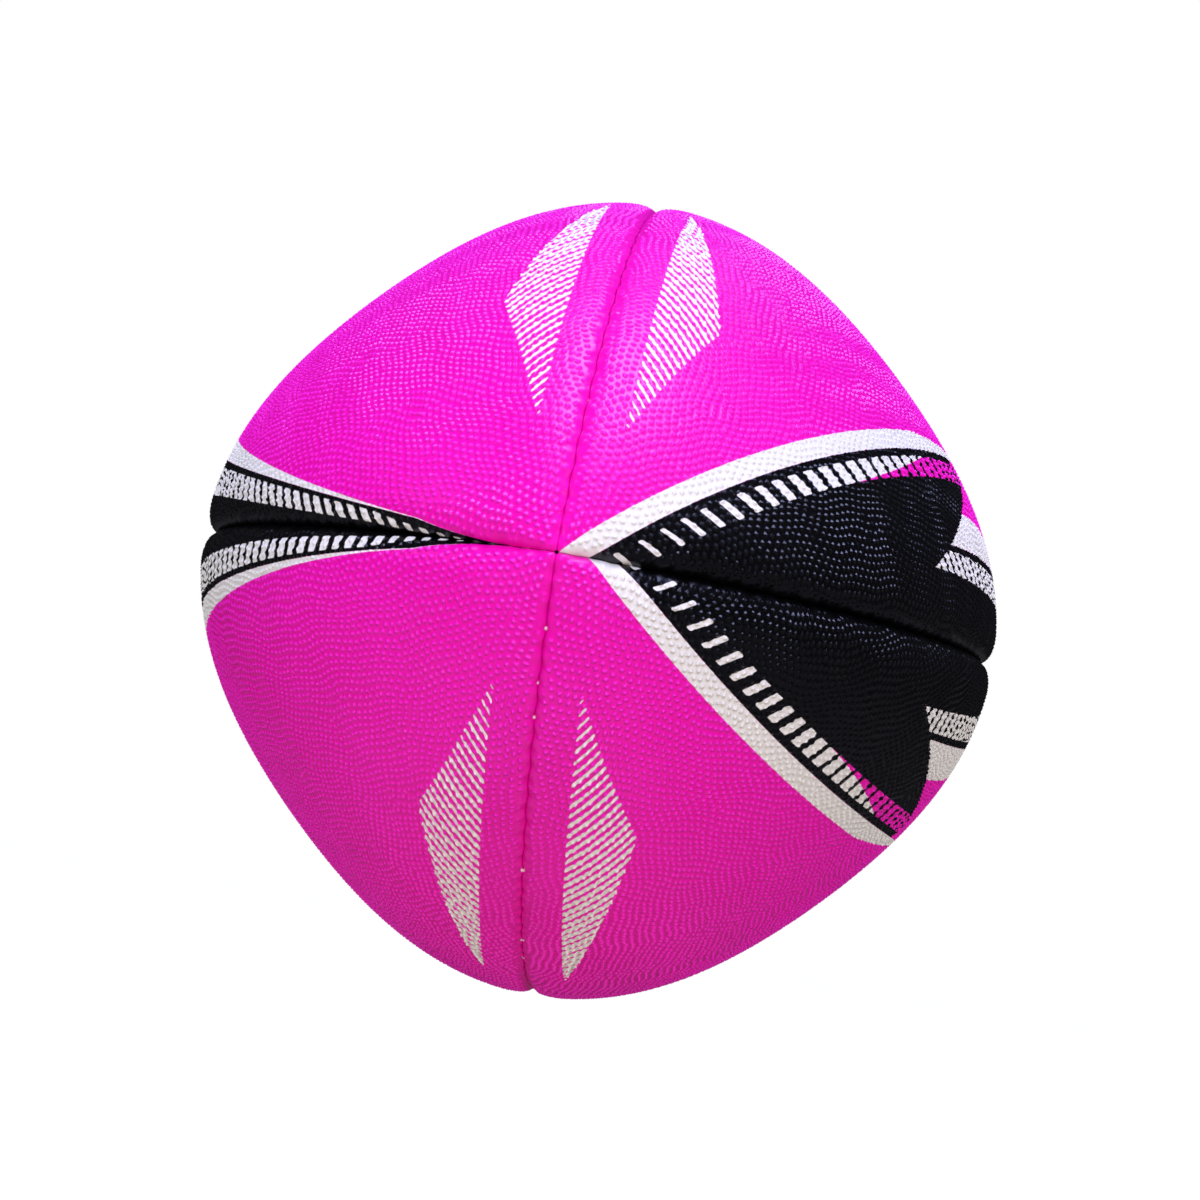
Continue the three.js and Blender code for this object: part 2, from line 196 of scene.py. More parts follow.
print("shoulder 5 degrees from a tip:", shoulder_width(np.radians([-85.0])).round(2), "mm wide")

# %% Points of a layer
SOLVING_ROUNDS = 6


def sunk_point(station, offset, sunk, turn):
    """A surface point moved in by a depth: square to the seam at turn 0, square to the crown at turn 1."""
    angle = MIDDLE + offset
    seam = np.where(offset < 0, 0.0, QUARTER)
    own = ball_normal(station, angle)
    square = ball_normal(station, seam)
    inward = unit(square + (own - square) * turn[..., None])
    return ball_point(station, angle) - inward * sunk[..., None]


def layer_point(station, offset, depth, raised, printed_side):
    """A point of a layer's crown or shoulder. The roll angle follows from the distance to the seam."""
    lateral = seam_lateral(station, MIDDLE - np.abs(offset))
    width = shoulder_width(station)
    thin = thinned(station, depth)
    fold = np.maximum(fold_depth(station, np.sign(offset) == printed_side), thin)
    cosine = np.clip((seam_gap(station, offset) + width - lateral) / (width - thin), 0, 1)
    sine = np.sqrt(1 - cosine**2)
    sunk = fold - (fold - thin) * sine + pucker(station, lateral) - raised
    return sunk_point(station, offset, sunk, sine**2)


def offset_at(station, lateral):
    """The angle from the panel's middle at which the surface lies this far from the seam's plane."""
    angle = np.zeros_like(station)
    for _ in range(SOLVING_ROUNDS):
        swell = 1 + SQUARENESS * np.cos(4 * angle)
        angle = np.arcsin(np.minimum(lateral / (mean_radius(station) * swell), 1.0))
    return MIDDLE - angle


shoulder_offset = offset_at(np.zeros(1), np.full(1, SHOULDER_WIDTH))[0]
print("crown at mid-length:", round(np.degrees(2 * shoulder_offset), 1), "degrees between its shoulders")

# %% [markdown]
# The grip is a field of small round pimples about 1.9 mm apart, in rows that wander. A fine grid
# could be displaced to raise them, at hundreds of faces for each. Here each pimple is one raised
# point with a ring of six points round its foot. A triangular lattice in which every seventh point
# is a top has exactly that ring for each, so the pimples are real geometry at only fourteen
# triangles each.

# %% The pimple lattice on the flat sheet
PIMPLE_PITCH = 1.88
PIMPLE_HEIGHT = 0.46
FOOT_RADIUS = 0.8
PIMPLE_SCATTER = 0.11
PIMPLE_SEED = 7
ROW_TURN = np.radians(17)
WAVES_ALONG = (0.8, 29, 0.0, 1.3), (0.4, 13, 0.3, 0.0)  # height, length, lean and phase of each
WAVES_ACROSS = (0.8, 37, 0.0, 0.0), (0.4, 17, -0.4, 2.0)
HALF_SHEET = (190.0, 80.0)  # more than half of a panel's length and width
SPARE = 1.2  # the lattice is laid this much wider than the sheet, and trimmed
LATTICE_STEP = PIMPLE_PITCH / np.sqrt(7)  # tops lie a root of seven steps apart
ROW_HEIGHT = np.sqrt(0.75)  # from row to row of a triangular lattice, in steps
RING_STEP_I = np.array([0, 1, 0, 1, -1, 0, -1])  # from a top to its ring, by remainder of (i - 2 j) / 7
RING_STEP_J = np.array([0, 0, -1, -1, 1, 1, 0])


def wander(run, other, waves):
    """A sum of sine waves along a run, each leaning by a share of the other direction."""
    return sum(
        height * np.sin(2 * np.pi * (run + lean * other) / length + phase)
        for height, length, lean, phase in waves
    )


def pimple_lattice():
    """Flat x, y of every lattice point and whether it is a top. A ring point is its top's place plus a
    step of the foot radius, and tops are moved by a seeded scatter and by slow waves."""
    count = int(SPARE * np.hypot(*HALF_SHEET) / LATTICE_STEP)
    numbers = np.arange(-count, count + 1)
    i, j = np.meshgrid(numbers, numbers, indexing="ij")
    remainder = (i - 2 * j) % 7
    step_i, step_j = RING_STEP_I[remainder], RING_STEP_J[remainder]
    top_i, top_j = i - step_i, j - step_j
    scatter = np.random.default_rng(PIMPLE_SEED).normal(0, PIMPLE_SCATTER, (2, *i.shape))
    pick = (np.clip(top_i + count, 0, 2 * count), np.clip(top_j + count, 0, 2 * count))
    x = LATTICE_STEP * (top_i + top_j / 2) + scatter[0][pick] + FOOT_RADIUS * (step_i + step_j / 2)
    y = ROW_HEIGHT * (LATTICE_STEP * top_j + FOOT_RADIUS * step_j) + scatter[1][pick]
    x, y = x * np.cos(ROW_TURN) - y * np.sin(ROW_TURN), x * np.sin(ROW_TURN) + y * np.cos(ROW_TURN)
    x, y = x + wander(y, x, WAVES_ALONG), y + wander(x, y, WAVES_ACROSS)
    inside = (np.abs(x) < HALF_SHEET[0]) & (np.abs(y) < HALF_SHEET[1])
    return x[inside], y[inside], remainder[inside] == 0


pimple_x, pimple_y, pimple_top = pimple_lattice()
print("lattice points:", len(pimple_x), "tops:", int(pimple_top.sum()))

# %% [markdown]
# Every layer of a panel is built in the same way, as a closed skin. Its outer and inner surfaces are
# triangulated on the flat sheet between an outline and, for the panel with the valve, a round
# hole. A rim of rows joins the two: down over the last of the shoulder, along the flange and back.
# A plain grid would be simpler, but its rows can't follow the pimples and the curved seams at once.

# %% The outline of a layer
OUTLINE_POINTS = 600  # along one side
OUTLINE_SIDE = np.repeat([-1.0, 1.0], OUTLINE_POINTS)
OUTER_ROLLS = np.radians([25, 17, 8, 0])  # roll angles of the rim's rows on the shoulder
INNER_ROLLS = np.radians([25, 12, 0])
RIM_EDGE = OUTER_ROLLS[0]  # the roll angle at which the flat outline ends and the rim starts
COVER_END = np.radians(89.5)  # the last station of a cover panel
HALVINGS = 40


def beyond_rim(x, y, depth):
    """How far a flat point lies inside the line where the rim starts, in mm across the seam."""
    station, offset = lay_on_ball(x, y)
    width = shoulder_width(station)
    start = seam_gap(station, offset) + width - (width - thinned(station, depth)) * np.cos(RIM_EDGE)
    lateral = seam_lateral(station, MIDDLE - np.abs(offset))
    return np.where(np.abs(offset) < MIDDLE, lateral - start, -1.0)


def outline(depth, end):
    """Flat outline of a layer: for each x, the y at which the roll angle is the rim's, by halving."""
    last = np.interp(end, line_stations, line_length)
    x = last * np.sin(np.linspace(-QUARTER, QUARTER, OUTLINE_POINTS))
    x = np.concatenate([x, x[::-1]])
    low, high = np.zeros_like(x), np.full_like(x, HALF_SHEET[1])
    for _ in range(HALVINGS):
        y = (low + high) / 2
        inside = beyond_rim(x, OUTLINE_SIDE * y, depth) > 0
        low, high = np.where(inside, y, low), np.where(inside, high, y)
    return np.stack([x, OUTLINE_SIDE * low], 1)


print("flat cover panel:", np.ptp(outline(0.0, COVER_END), axis=0).round(1), "mm")

# %% Triangles inside an outline, and between two rings
HOLE_RADIUS = 4.65
HOLE_POINTS = 48
IN_HOLE = 0.999 * HOLE_RADIUS  # a triangle whose middle lies nearer than this fills the hole
KEEP_INSIDE = 1  # the way of triangulating that keeps only what the outline holds
SAME_POINT = 1e-6


def triangulate(points, outline_count, hole_count):
    """Triangles of flat points inside the first outline_count of them, without the hole that follows."""
    ring = outline_count + np.arange(hole_count)
    edges = np.stack([ring, np.roll(ring, -1)], 1).tolist()
    flat = [Vector(point) for point in points.tolist()]
    found = delaunay_2d_cdt(flat, edges, [list(range(outline_count))], KEEP_INSIDE, SAME_POINT)
    _, _, faces, sources, _, _ = found
    source = np.array([origins[0] for origins in sources])
    triangles = source[np.array(faces)]
    middle = points[triangles].mean(axis=1)
    return triangles[np.hypot(*middle.T) > IN_HOLE] if hole_count else triangles


def ring_faces(first, second):
    """Two triangles for each step between two closed rows of points."""
    next_first, next_second = np.roll(first, -1), np.roll(second, -1)
    one = np.stack([next_first, first, second], 1)
    two = np.stack([next_first, second, next_second], 1)
    return np.concatenate([one, two])


eight = np.arange(8)
print("between two rings of 8 points:", len(ring_faces(eight, eight + 8)), "triangles")

# %% The rim of a layer
FLANGE_ROWS = (0.5, 1.0)  # as shares of the flange's depth


def rim_rows(loop, depth, rolls, printed_side):
    """Rows of a rim at one depth: points at roll angles on the shoulder, then down the flange. Each row
    is its points, stations, offsets and lifts."""
    station = lay_on_ball(*loop.T)[0]
    none = np.zeros_like(station)
    width, thin, gap = shoulder_width(station), thinned(station, depth), seam_gap(station, OUTLINE_SIDE)
    fold = np.maximum(fold_depth(station, OUTLINE_SIDE == printed_side), thin)
    places = []
    for roll in rolls:
        lateral = gap + width - (width - thin) * np.cos(roll)
        places.append((lateral, fold - (fold - thin) * np.sin(roll), none + np.sin(roll) ** 2))
    for share in FLANGE_ROWS:
        places.append((gap + thin, fold + share * FLANGE_DEPTH * narrowing(station), none))
    rows = []
    for lateral, sunk, turn in places:
        offset = OUTLINE_SIDE * offset_at(station, lateral)
        points = sunk_point(station, offset, sunk + pucker(station, lateral), turn)
        rows.append((points, station, offset, none))
    return rows


print("rows of a rim:", len(OUTER_ROLLS) + len(INNER_ROLLS) + 2 * len(FLANGE_ROWS))

# %% The skin of a layer
EDGE_MARGIN = 0.32  # least way from the outline or the hole to a point of the field
PIMPLE_START, PIMPLE_GROWTH = 0.7, 1.2  # from the seam to the first pimples, and on to full height
COARSE_HALF = (184.0, 76.0)
COARSE_STEP = 5.0
coarse_lines = [np.arange(-half, half, COARSE_STEP) for half in COARSE_HALF]
coarse_flat = np.stack(np.meshgrid(*coarse_lines, indexing="ij"), -1).reshape(-1, 2)
coarse_raised = np.zeros(len(coarse_flat))


def opening(value, start, length):
    """0 up to the start, 1 past the length from there, and straight between."""
    return np.clip((value - start) / length, 0, 1)


def layer_field(depth, end, flat, raised, ring, printed_side):
    """One surface of a layer: its flat outline, the flat points inside it, their triangles, and their
    points on the ball with stations, offsets and lifts."""
    loop = outline(depth, end)
    keep = (beyond_rim(*flat.T, depth) > EDGE_MARGIN) & (np.abs(flat[:, 0]) < loop[:, 0].max())
    if len(ring):
        keep &= np.hypot(*flat.T) > HOLE_RADIUS + EDGE_MARGIN
    field = np.concatenate([ring, flat[keep]])
    triangles = triangulate(np.concatenate([loop, field]), len(loop), len(ring))
    station, offset = lay_on_ball(*field.T)
    lateral = seam_lateral(station, MIDDLE - np.abs(offset))
    lift = np.concatenate([np.zeros(len(ring)), raised[keep]])
    lift = lift * opening(lateral, PIMPLE_START, PIMPLE_GROWTH)
    points = layer_point(station, offset, depth, lift, printed_side)
    return loop, field, triangles, (points, station, offset, lift)


def layer_skin(depths, end, outer_flat, raised, hole, printed_side):
    """Closed skin of a layer between two depths. Its points are the rim's rows, then the outer and the
    inner field, each with the hole's ring first. The flat outlines and fields are kept for a map."""
    turn = np.arange(HOLE_POINTS if hole else 0) * 2 * np.pi / HOLE_POINTS
    ring = HOLE_RADIUS * np.stack([np.cos(turn), np.sin(turn)], 1)
    outer = layer_field(depths[0], end, outer_flat, raised, ring, printed_side)
    inner = layer_field(depths[1], end, coarse_flat, coarse_raised, ring, printed_side)
    down = rim_rows(outer[0], depths[0], OUTER_ROLLS, printed_side)
    back = rim_rows(inner[0], depths[1], INNER_ROLLS, printed_side)[::-1]
    parts = [*down, *back, outer[3], inner[3]]
    outside = [True] * len(down) + [False] * len(back) + [True, False]
    points, station, offset, lift = (np.concatenate(arrays) for arrays in zip(*parts))
    rows = np.arange(len(down + back) * len(OUTLINE_SIDE)).reshape(-1, len(OUTLINE_SIDE))
    outer_field = rows.size + np.arange(len(outer[1]))
    inner_field = outer_field[-1] + 1 + np.arange(len(inner[1]))
    wall = np.arange(len(ring))
    return {
        "points": points,
        "station": station,
        "offset": offset,
        "lift": lift,
        "outside": np.repeat(outside, [len(part[0]) for part in parts]),
        "faces": {
            "outer": np.concatenate([rows[0], outer_field])[outer[2]],
            "inner": np.concatenate([rows[-1], inner_field])[inner[2]][:, ::-1],
            "rim": np.concatenate([ring_faces(a, b) for a, b in zip(rows[:-1], rows[1:])]),
            "wall": ring_faces(outer_field[wall], inner_field[wall])[:, ::-1],
        },
        "flat": {"outer": outer[:2], "inner": inner[:2]},
    }


print("coarse field for hidden surfaces:", len(coarse_flat), "points")

# %% The skins of the cover
PANELS = ["upper_right", "upper_left", "lower_left", "lower_right"]
LAYER_DEPTHS = {  # of the outer and the inner surface, with 0.3 mm of adhesive between layers
    "cover": (0.0, 1.2),
    "cotton": (1.5, 1.9),
    "polyester": (2.2, 2.6),
    "bladder": (2.9, 3.5),
}


def panel_skins(layer, end, outer_flat, raised):
    """A layer's skin for each panel in turn. The first and third are alike, and their printed seam
    comes first. Only the second has the valve's hole."""
    depths = LAYER_DEPTHS[layer]
    first = layer_skin(depths, end, outer_flat, raised, False, -1)
    second = layer_skin(depths, end, outer_flat, raised, True, 1)
    fourth = layer_skin(depths, end, outer_flat, raised, False, 1)
    return [first, second, first, fourth]


pimple_flat = np.stack([pimple_x, pimple_y], 1)
cover_skins = panel_skins("cover", COVER_END, pimple_flat, PIMPLE_HEIGHT * pimple_top)
for panel, skin in zip(PANELS, cover_skins):
    print("cover panel", panel, "takes", sum(map(len, skin["faces"].values())), "triangles")

# %% [markdown]
# Each layer becomes one mesh with its place in its vertices. A piece that stands for a solid rides
# on the ball's only body, hides that solid, and takes its material.

# %% Put arrays into a mesh and hang the piece on the frame
def turned(points, quarters):
    """Points turned round the long axis by whole quarters, from the right-hand seam towards the top."""
    cosine, sine = np.cos(quarters * QUARTER), np.sin(quarters * QUARTER)
    x, y, z = points.T
    return np.stack([x * cosine - z * sine, y, x * sine + z * cosine], 1)


def add_piece(name, points, faces, material, node):
    """A mesh object from points in millimetres and triangles, riding on the ball in place of a solid."""
    mesh = bpy.data.meshes.new(name)
    mesh.vertices.add(len(points))
    mesh.vertices.foreach_set("co", np.float32(points * METRES).ravel())
    mesh.loops.add(faces.size)
    mesh.loops.foreach_set("vertex_index", np.int32(faces).ravel())
    mesh.polygons.add(len(faces))
    mesh.polygons.foreach_set("loop_start", np.arange(0, faces.size, 3, dtype=np.int32))
    mesh.update(calc_edges=True)
    mesh.shade_smooth()
    mesh.materials.append(material)
    piece = bpy.data.objects.new(name, mesh)
    bpy.context.scene.collection.objects.link(piece)
    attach(piece, "root")
    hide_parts(node)
    print(name, "has", len(faces), "triangles")
    return piece


def add_field(piece, name, values):
    """A number or a vector at every vertex, for the material to read by name."""
    kind, key = ("FLOAT_VECTOR", "vector") if values.ndim == 2 else ("FLOAT", "value")
    attribute = piece.data.attributes.new(name, kind, "POINT")
    attribute.data.foreach_set(key, np.float32(values).ravel())


print("one quarter on from the right-hand seam:", turned(np.array([[1.0, 0.0, 0.0]]), 1).round(3))

# %% [markdown]
# The print is worked out on the surface, not painted. For every vertex the functions below give how
# far it lies inside each printed shape, in millimetres, and the material cuts each shape at zero.
# A strip is given by the distance from its middle line and half its width, and stripes by a phase,
# because these stay true between vertices.
# Each black seam carries a broad wedge on one half of the ball, which ends in swept wings, and a
# narrow band on the other half. Both have a white border and a row of ticks that thicken towards
# the middle. A hatched leaf lies beside each pink seam.

# %% Helpers for the print
def arc_from(station, angle):
    """Length round the ball from a seam: the mean radius times the angle, with the swelling's share."""
    return mean_radius(station) * (angle + SQUARENESS * np.sin(4 * angle) / 4)


def grown(along, start, growth, least=-np.inf, most=np.inf):
    """A value that grows evenly along the seam from its start at the tip, held between two limits."""
    return np.clip(start + growth * along, least, most)


print("half a panel at mid-length:", arc_from(np.zeros(1), MIDDLE).round(1), "mm")

# %% The wedge and its row of ticks
HALF_SEAM_LENGTH = SEAM_TOTAL / 2
WEDGE_WIDTH = 50.0
WEDGE_START = 10.0
WEDGE_POWER = 2.5
BORDER_WIDTH = 5.0
BORDER_RAMP = 7.3  # the border starts this far before the wedge
BORDER_FADE = (130.0, 205.0)
NO_STRIP = 0.3  # a strip that fades out ends this much below no width, past the ragged edge
TICK_ROW = (2.0, 7.2)  # from the wedge's edge to the outer and inner ends of its ticks
TICK_PITCH = 5.5
TICK_LEAN = (1.0, -0.008, 0.2, 1.0)  # at the tip, growth per mm along the seam, least and most
TICK_SHARE = (0.0, 0.008, 0.2, 0.7)
TICK_END = 160.1
TICK_CUT = 20.0  # how steeply the width of the row falls at its end
ROW_MARGIN = 1.5  # of black past the last tick
PINK_EDGE = (1.855, 0.335)  # ticks are pink on the seam's side of this line
PINK_START = 80.0
WING_NOTCH = (115.6, 17.3)
WING_SWEEP = 1.78
WING_OVERLAP = 0.2  # of the wing and the row of ticks


def wedge_print(along, across, tick_phase):
    """The broad half. The wedge's edge rises from the tip as one minus a power of the way left. Strips are
    given as the distance from their middle line and half their width."""
    left = np.clip((HALF_SEAM_LENGTH - along) / (HALF_SEAM_LENGTH - WEDGE_START), 0, 1)
    edge = WEDGE_WIDTH * (1 - left**WEDGE_POWER)
    trail = WING_NOTCH[0] + WING_SWEEP * (across - WING_NOTCH[1]) - along
    inner, middle = edge - TICK_ROW[1], edge - sum(TICK_ROW) / 2
    wing = np.minimum(inner + WING_OVERLAP - across, trail)
    row = np.minimum(np.minimum(edge - across, across - inner), TICK_END + ROW_MARGIN - along)
    fade = np.clip((BORDER_FADE[1] - along) / (BORDER_FADE[1] - BORDER_FADE[0]), 0, 1)
    start = opening(along, WEDGE_START - BORDER_RAMP, BORDER_RAMP)
    half = (BORDER_WIDTH / 2 + NO_STRIP) * np.minimum(fade, start) - NO_STRIP
    tick_half = np.minimum((TICK_ROW[1] - TICK_ROW[0]) / 2, TICK_CUT * (TICK_END - along))
    phase = tick_phase + grown(along, *TICK_LEAN) * (across - middle) / TICK_PITCH
    return {
        "black": np.maximum(wing, row),
        "border": (across - edge - half, half),
        "ticks": (across - middle, tick_half),
        "stripes": (phase, grown(along, *TICK_SHARE)),
        "pink": np.minimum(grown(along, *PINK_EDGE) - across, along - PINK_START),
        "outside": -trail,
    }


print("ticks along a wedge:", round((TICK_END - WEDGE_START) / TICK_PITCH))

# %% The band and its row of ticks
BAND_OPENING = (10.0, 24.0)  # where its edge leaves the seam, and the way to its full angle
BAND_EDGE = (4.4, 0.043)  # degrees from the seam at the tip, and growth per mm along the seam
BAND_BORDER = (-0.85, 0.03)
BAND_TICK_OPENING = (17.0, 30.0)
BAND_TICK_OUT = (3.4, 0.0425)
BAND_TICK_IN = (0.6, 0.031)
BAND_TICK_BEND = (150.0, 0.021)  # past here the inner ends of the ticks lean out more
BAND_PITCH = 4.2
BAND_SHARE = (0.44, 0.0025, 0.5, 0.7)


def band_print(station, along, angle, tick_shift, lean):
    """The narrow half. Its edges are angles from the seam that grow evenly along it, in degrees."""
    degree = mean_radius(station) * np.pi / 180  # its length on the ball
    turn = np.degrees(angle)
    edge = grown(along, *BAND_EDGE) * opening(along, *BAND_OPENING)
    half = grown(along, *BAND_BORDER) / 2
    ticks_open = opening(along, *BAND_TICK_OPENING)
    bend = BAND_TICK_BEND[1] * np.maximum(along - BAND_TICK_BEND[0], 0)
    tick_in = (grown(along, *BAND_TICK_IN) + bend) * ticks_open
    tick_out = grown(along, *BAND_TICK_OUT) * ticks_open
    middle = (tick_in + tick_out) / 2
    phase = (along + tick_shift - lean * (turn - middle) * degree) / BAND_PITCH
    return {
        "black": (edge - turn) * degree,
        "border": ((edge + half - turn) * degree, half * degree),
        "ticks": ((middle - turn) * degree, (tick_out - middle) * degree),
        "stripes": (phase, grown(along, *BAND_SHARE)),
    }


print("ticks along a band:", round((HALF_SEAM_LENGTH - BAND_TICK_OPENING[0]) / BAND_PITCH))

# %% The hatched leaf
LEAF_SEAM_SIDE = 9.5
LEAF_ENDS = (31.0, 142.0)
LEAF_SLOPES = (0.36, 0.24)
HATCH_PITCH = 2.95
HATCH_LEAN = 0.8
HATCH_SHARE = (0.064, 0.006, 0.25, 0.85)


def leaf_print(along, across):
    """A hatched leaf: it opens from one end and closes to the other along straight edges."""
    opens, closes = (along - LEAF_ENDS[0]) * LEAF_SLOPES[0], (LEAF_ENDS[1] - along) * LEAF_SLOPES[1]
    beyond = across - LEAF_SEAM_SIDE
    inside = np.minimum(beyond, np.minimum(opens, closes) - beyond)
    phase = (along + HATCH_LEAN * beyond) / HATCH_PITCH
    return inside, phase, grown(along, *HATCH_SHARE)


print("lines in a leaf: about", round((LEAF_ENDS[1] - LEAF_ENDS[0]) / HATCH_PITCH))

# %% All print of one panel
PRINT_SHIFT = {"upper_right": 3.0, "lower_right": -3.5}  # the sheets were printed a little out of place
TICK_SHIFT = {"upper_right": 4.4, "upper_left": -0.9}
BAND_LEAN = {"upper": 0.62, "lower": 0.15}
BAND_REACH = 35.0  # no part of the band lies further from the seam
STRIP_LEAD = 2.0  # strips of the band are worked out from this far under the wedge
BEHIND_LEAD = 8.0
BLACK_LEAD = 20.0  # the band's black runs on this far under the wedge
CLEAR = 9.0  # well inside a shape, and its minus well outside
BARE = -99.0  # no print on the inner side of the rubber


def panel_print(panel, skin):
    """The vectors that the cover's material reads, for one panel by name."""
    station, offset = skin["station"], skin["offset"]
    from_black = MIDDLE + offset if PANELS.index(panel) % 2 == 0 else MIDDLE - offset
    near = along_seam(station)
    along = near if panel.endswith("right") else SEAM_TOTAL - near
    across = arc_from(station, from_black)
    tick_shift = TICK_SHIFT.get(panel, 0.0)
    wedge = wedge_print(along + PRINT_SHIFT.get(panel, 0.0), across, (along + tick_shift) / TICK_PITCH)
    band = band_print(station, SEAM_TOTAL - along, from_black, tick_shift, BAND_LEAN[panel.split("_")[0]])
    near_seam = across < BAND_REACH
    use_band = near_seam & (wedge["outside"] > -STRIP_LEAD)
    strips = []
    for name in ("border", "ticks", "stripes"):
        strips += [np.where(use_band, narrow, broad) for narrow, broad in zip(band[name], wedge[name])]
    border, border_half, ticks, tick_half, phase, share = strips
    black = np.maximum(wedge["black"], np.minimum(band["black"], wedge["outside"] + BLACK_LEAD))
    behind = np.where(near_seam & (wedge["outside"] > -BEHIND_LEAD), wedge["outside"], CLEAR)
    pink = np.where(use_band, -CLEAR, wedge["pink"])
    from_tip = np.minimum(near, SEAM_TOTAL - near)
    leaf, hatch, hatch_share = leaf_print(from_tip, arc_from(station, QUARTER - from_black))
    bare = np.where(skin["outside"], 0.0, BARE)
    return {
        "ink": np.stack([black + bare, leaf + bare, pink], 1),
        "border": np.stack([border, border_half + bare, share], 1),
        "tick": np.stack([ticks, tick_half + bare, phase], 1),
        "hatch": np.stack([hatch, hatch_share, behind], 1),
    }


cover_prints = [panel_print(panel, skin) for panel, skin in zip(PANELS, cover_skins)]
for panel, print_fields in zip(PANELS, cover_prints):
    print("black on", panel, "at", round(100 * np.mean(print_fields["ink"][:, 0] > 0)), "% of its points")

# %% [markdown]
# A material is a small graph of nodes. One function adds a node, sets its properties and joins its
# inputs, and every material below is written with it. Colours are given as the sRGB hex values that
# a colour picker shows, and one function turns them into the linear values that light works in.

# %% Helpers for materials
def linear(hex_colour):
    """sRGB hex to linear: a straight part near black, and a power of 2.4 above it."""
    values = np.array([int(hex_colour[k : k + 2], 16) for k in (1, 3, 5)]) / 255
    return (*np.where(values <= 0.04045, values / 12.92, ((values + 0.055) / 1.055) ** 2.4).tolist(), 1.0)


def new_material(name):
    """An empty material that uses nodes, and its tree."""
    material = bpy.data.materials.new(name)
    material.use_nodes = True
    material.node_tree.nodes.clear()
    return material, material.node_tree


def add(tree, kind, inputs=None, **settings):
    """Adds a node. Settings are its properties; inputs are values, or sockets to link from."""
    node = tree.nodes.new(kind)
    for name, value in settings.items():
        setattr(node, name, value)
    for key, value in (inputs or {}).items():
        if isinstance(value, bpy.types.NodeSocket):
            tree.links.new(value, node.inputs[key])
        else:
            node.inputs[key].default_value = value
    return node


print("mid grey in linear light:", round(linear("#808080")[0], 3))

# %% [markdown]
# The cover is natural rubber moulded with its pimples and dyed pink through, then screen printed in
# black and white. Moulded rubber has a satin surface with a fine grit, so highlights are soft and
# sit on each pimple. Ink bridges the pimples unevenly, so the edges of the print are a little
# ragged. A picture could carry the print, but edges cut from distances stay sharp at any size.

# %% Colours and grain of the cover
# Each pair is a darker colour between the pimples, painted shade, and a paler one on their tops, a painted
# highlight
PINK = linear("#de009a"), linear("#ff2cda")  # between the pimples, darker as painted shade, and on their tops, paler as a painted highlight
BLACK_INK = linear("#020203"), linear("#0f0f12")
WHITE_INK = linear("#dad6d5"), linear("#f4f0ee")
RAGGED_MM, GRIT_MM, BLOTCH_MM = 0.9, 0.35, 22.0

cover_rubber, tree = new_material("pimpled_rubber_screen_printed")
place = add(tree, "ShaderNodeTexCoord").outputs["Object"]
grains = []
for size, detail in ((RAGGED_MM, 1.0), (GRIT_MM, 2.0), (BLOTCH_MM, 3.0)):
    grain = {"Vector": place, "Scale": 1 / (size * METRES), "Detail": detail}
    grains.append(add(tree, "ShaderNodeTexNoise", grain).outputs[0])
ragged, grit, blotch = grains
print("grains of", RAGGED_MM, GRIT_MM, "and", BLOTCH_MM, "mm")

# %% Masks for printed shapes
RAGGED_EDGE = 0.2
CUT = 0.06  # half the width of a printed edge, in mm
CORNER = 0.45  # radius of a printed corner

swing = {0: ragged, 1: RAGGED_EDGE, 2: -RAGGED_EDGE / 2}
wobble = add(tree, "ShaderNodeMath", swing, operation="MULTIPLY_ADD").outputs[0]


def printed_mask(field):
    """1 where a field in mm, with the ragged edge added, is above 0."""
    value = add(tree, "ShaderNodeMath", {0: field, 1: wobble}, operation="ADD")
    ends = {"Value": value.outputs[0], "From Min": -CUT, "From Max": CUT}
    return add(tree, "ShaderNodeMapRange", ends).outputs[0]


def inside_strip(off, half):
    """Half the width of a strip less the distance from its middle line."""
    away = add(tree, "ShaderNodeMath", {0: off}, operation="ABSOLUTE")
    return add(tree, "ShaderNodeMath", {0: half, 1: away.outputs[0]}, operation="SUBTRACT").outputs[0]


def inside_stripes(phase, share, pitch):
    """Half the share less the distance to the middle of the nearest stripe, times the pitch."""
    part = add(tree, "ShaderNodeMath", {0: phase}, operation="FRACT")
    middle = add(tree, "ShaderNodeMath", {0: part.outputs[0], 1: 0.5}, operation="SUBTRACT")
    room = add(tree, "ShaderNodeMath", {0: share, 1: 0.5}, operation="MULTIPLY")
    left = inside_strip(middle.outputs[0], room.outputs[0])
    return add(tree, "ShaderNodeMath", {0: left, 1: pitch}, operation="MULTIPLY").outputs[0]


def inside_both(first, second):
    """Inside two edges with a round corner: its radius less the length of what each lacks to that radius."""
    lacks = []
    for distance in (first, second):
        lack = add(tree, "ShaderNodeMath", {0: CORNER, 1: distance}, operation="SUBTRACT").outputs[0]
        lacks.append(add(tree, "ShaderNodeMath", {0: lack, 1: 0.0}, operation="MAXIMUM").outputs[0])
    pair = add(tree, "ShaderNodeCombineXYZ", {0: lacks[0], 1: lacks[1]})
    length = add(tree, "ShaderNodeVectorMath", {0: pair.outputs[0]}, operation="LENGTH").outputs["Value"]
    return add(tree, "ShaderNodeMath", {0: CORNER, 1: length}, operation="SUBTRACT").outputs[0]


def mixed(share, first, second):
    """One colour, and the other by its share."""
    return add(tree, "ShaderNodeMix", {0: share, 6: first, 7: second}, data_type="RGBA").outputs[2]


print("printed edges:", 2 * CUT, "mm wide, with corners of", CORNER, "mm")

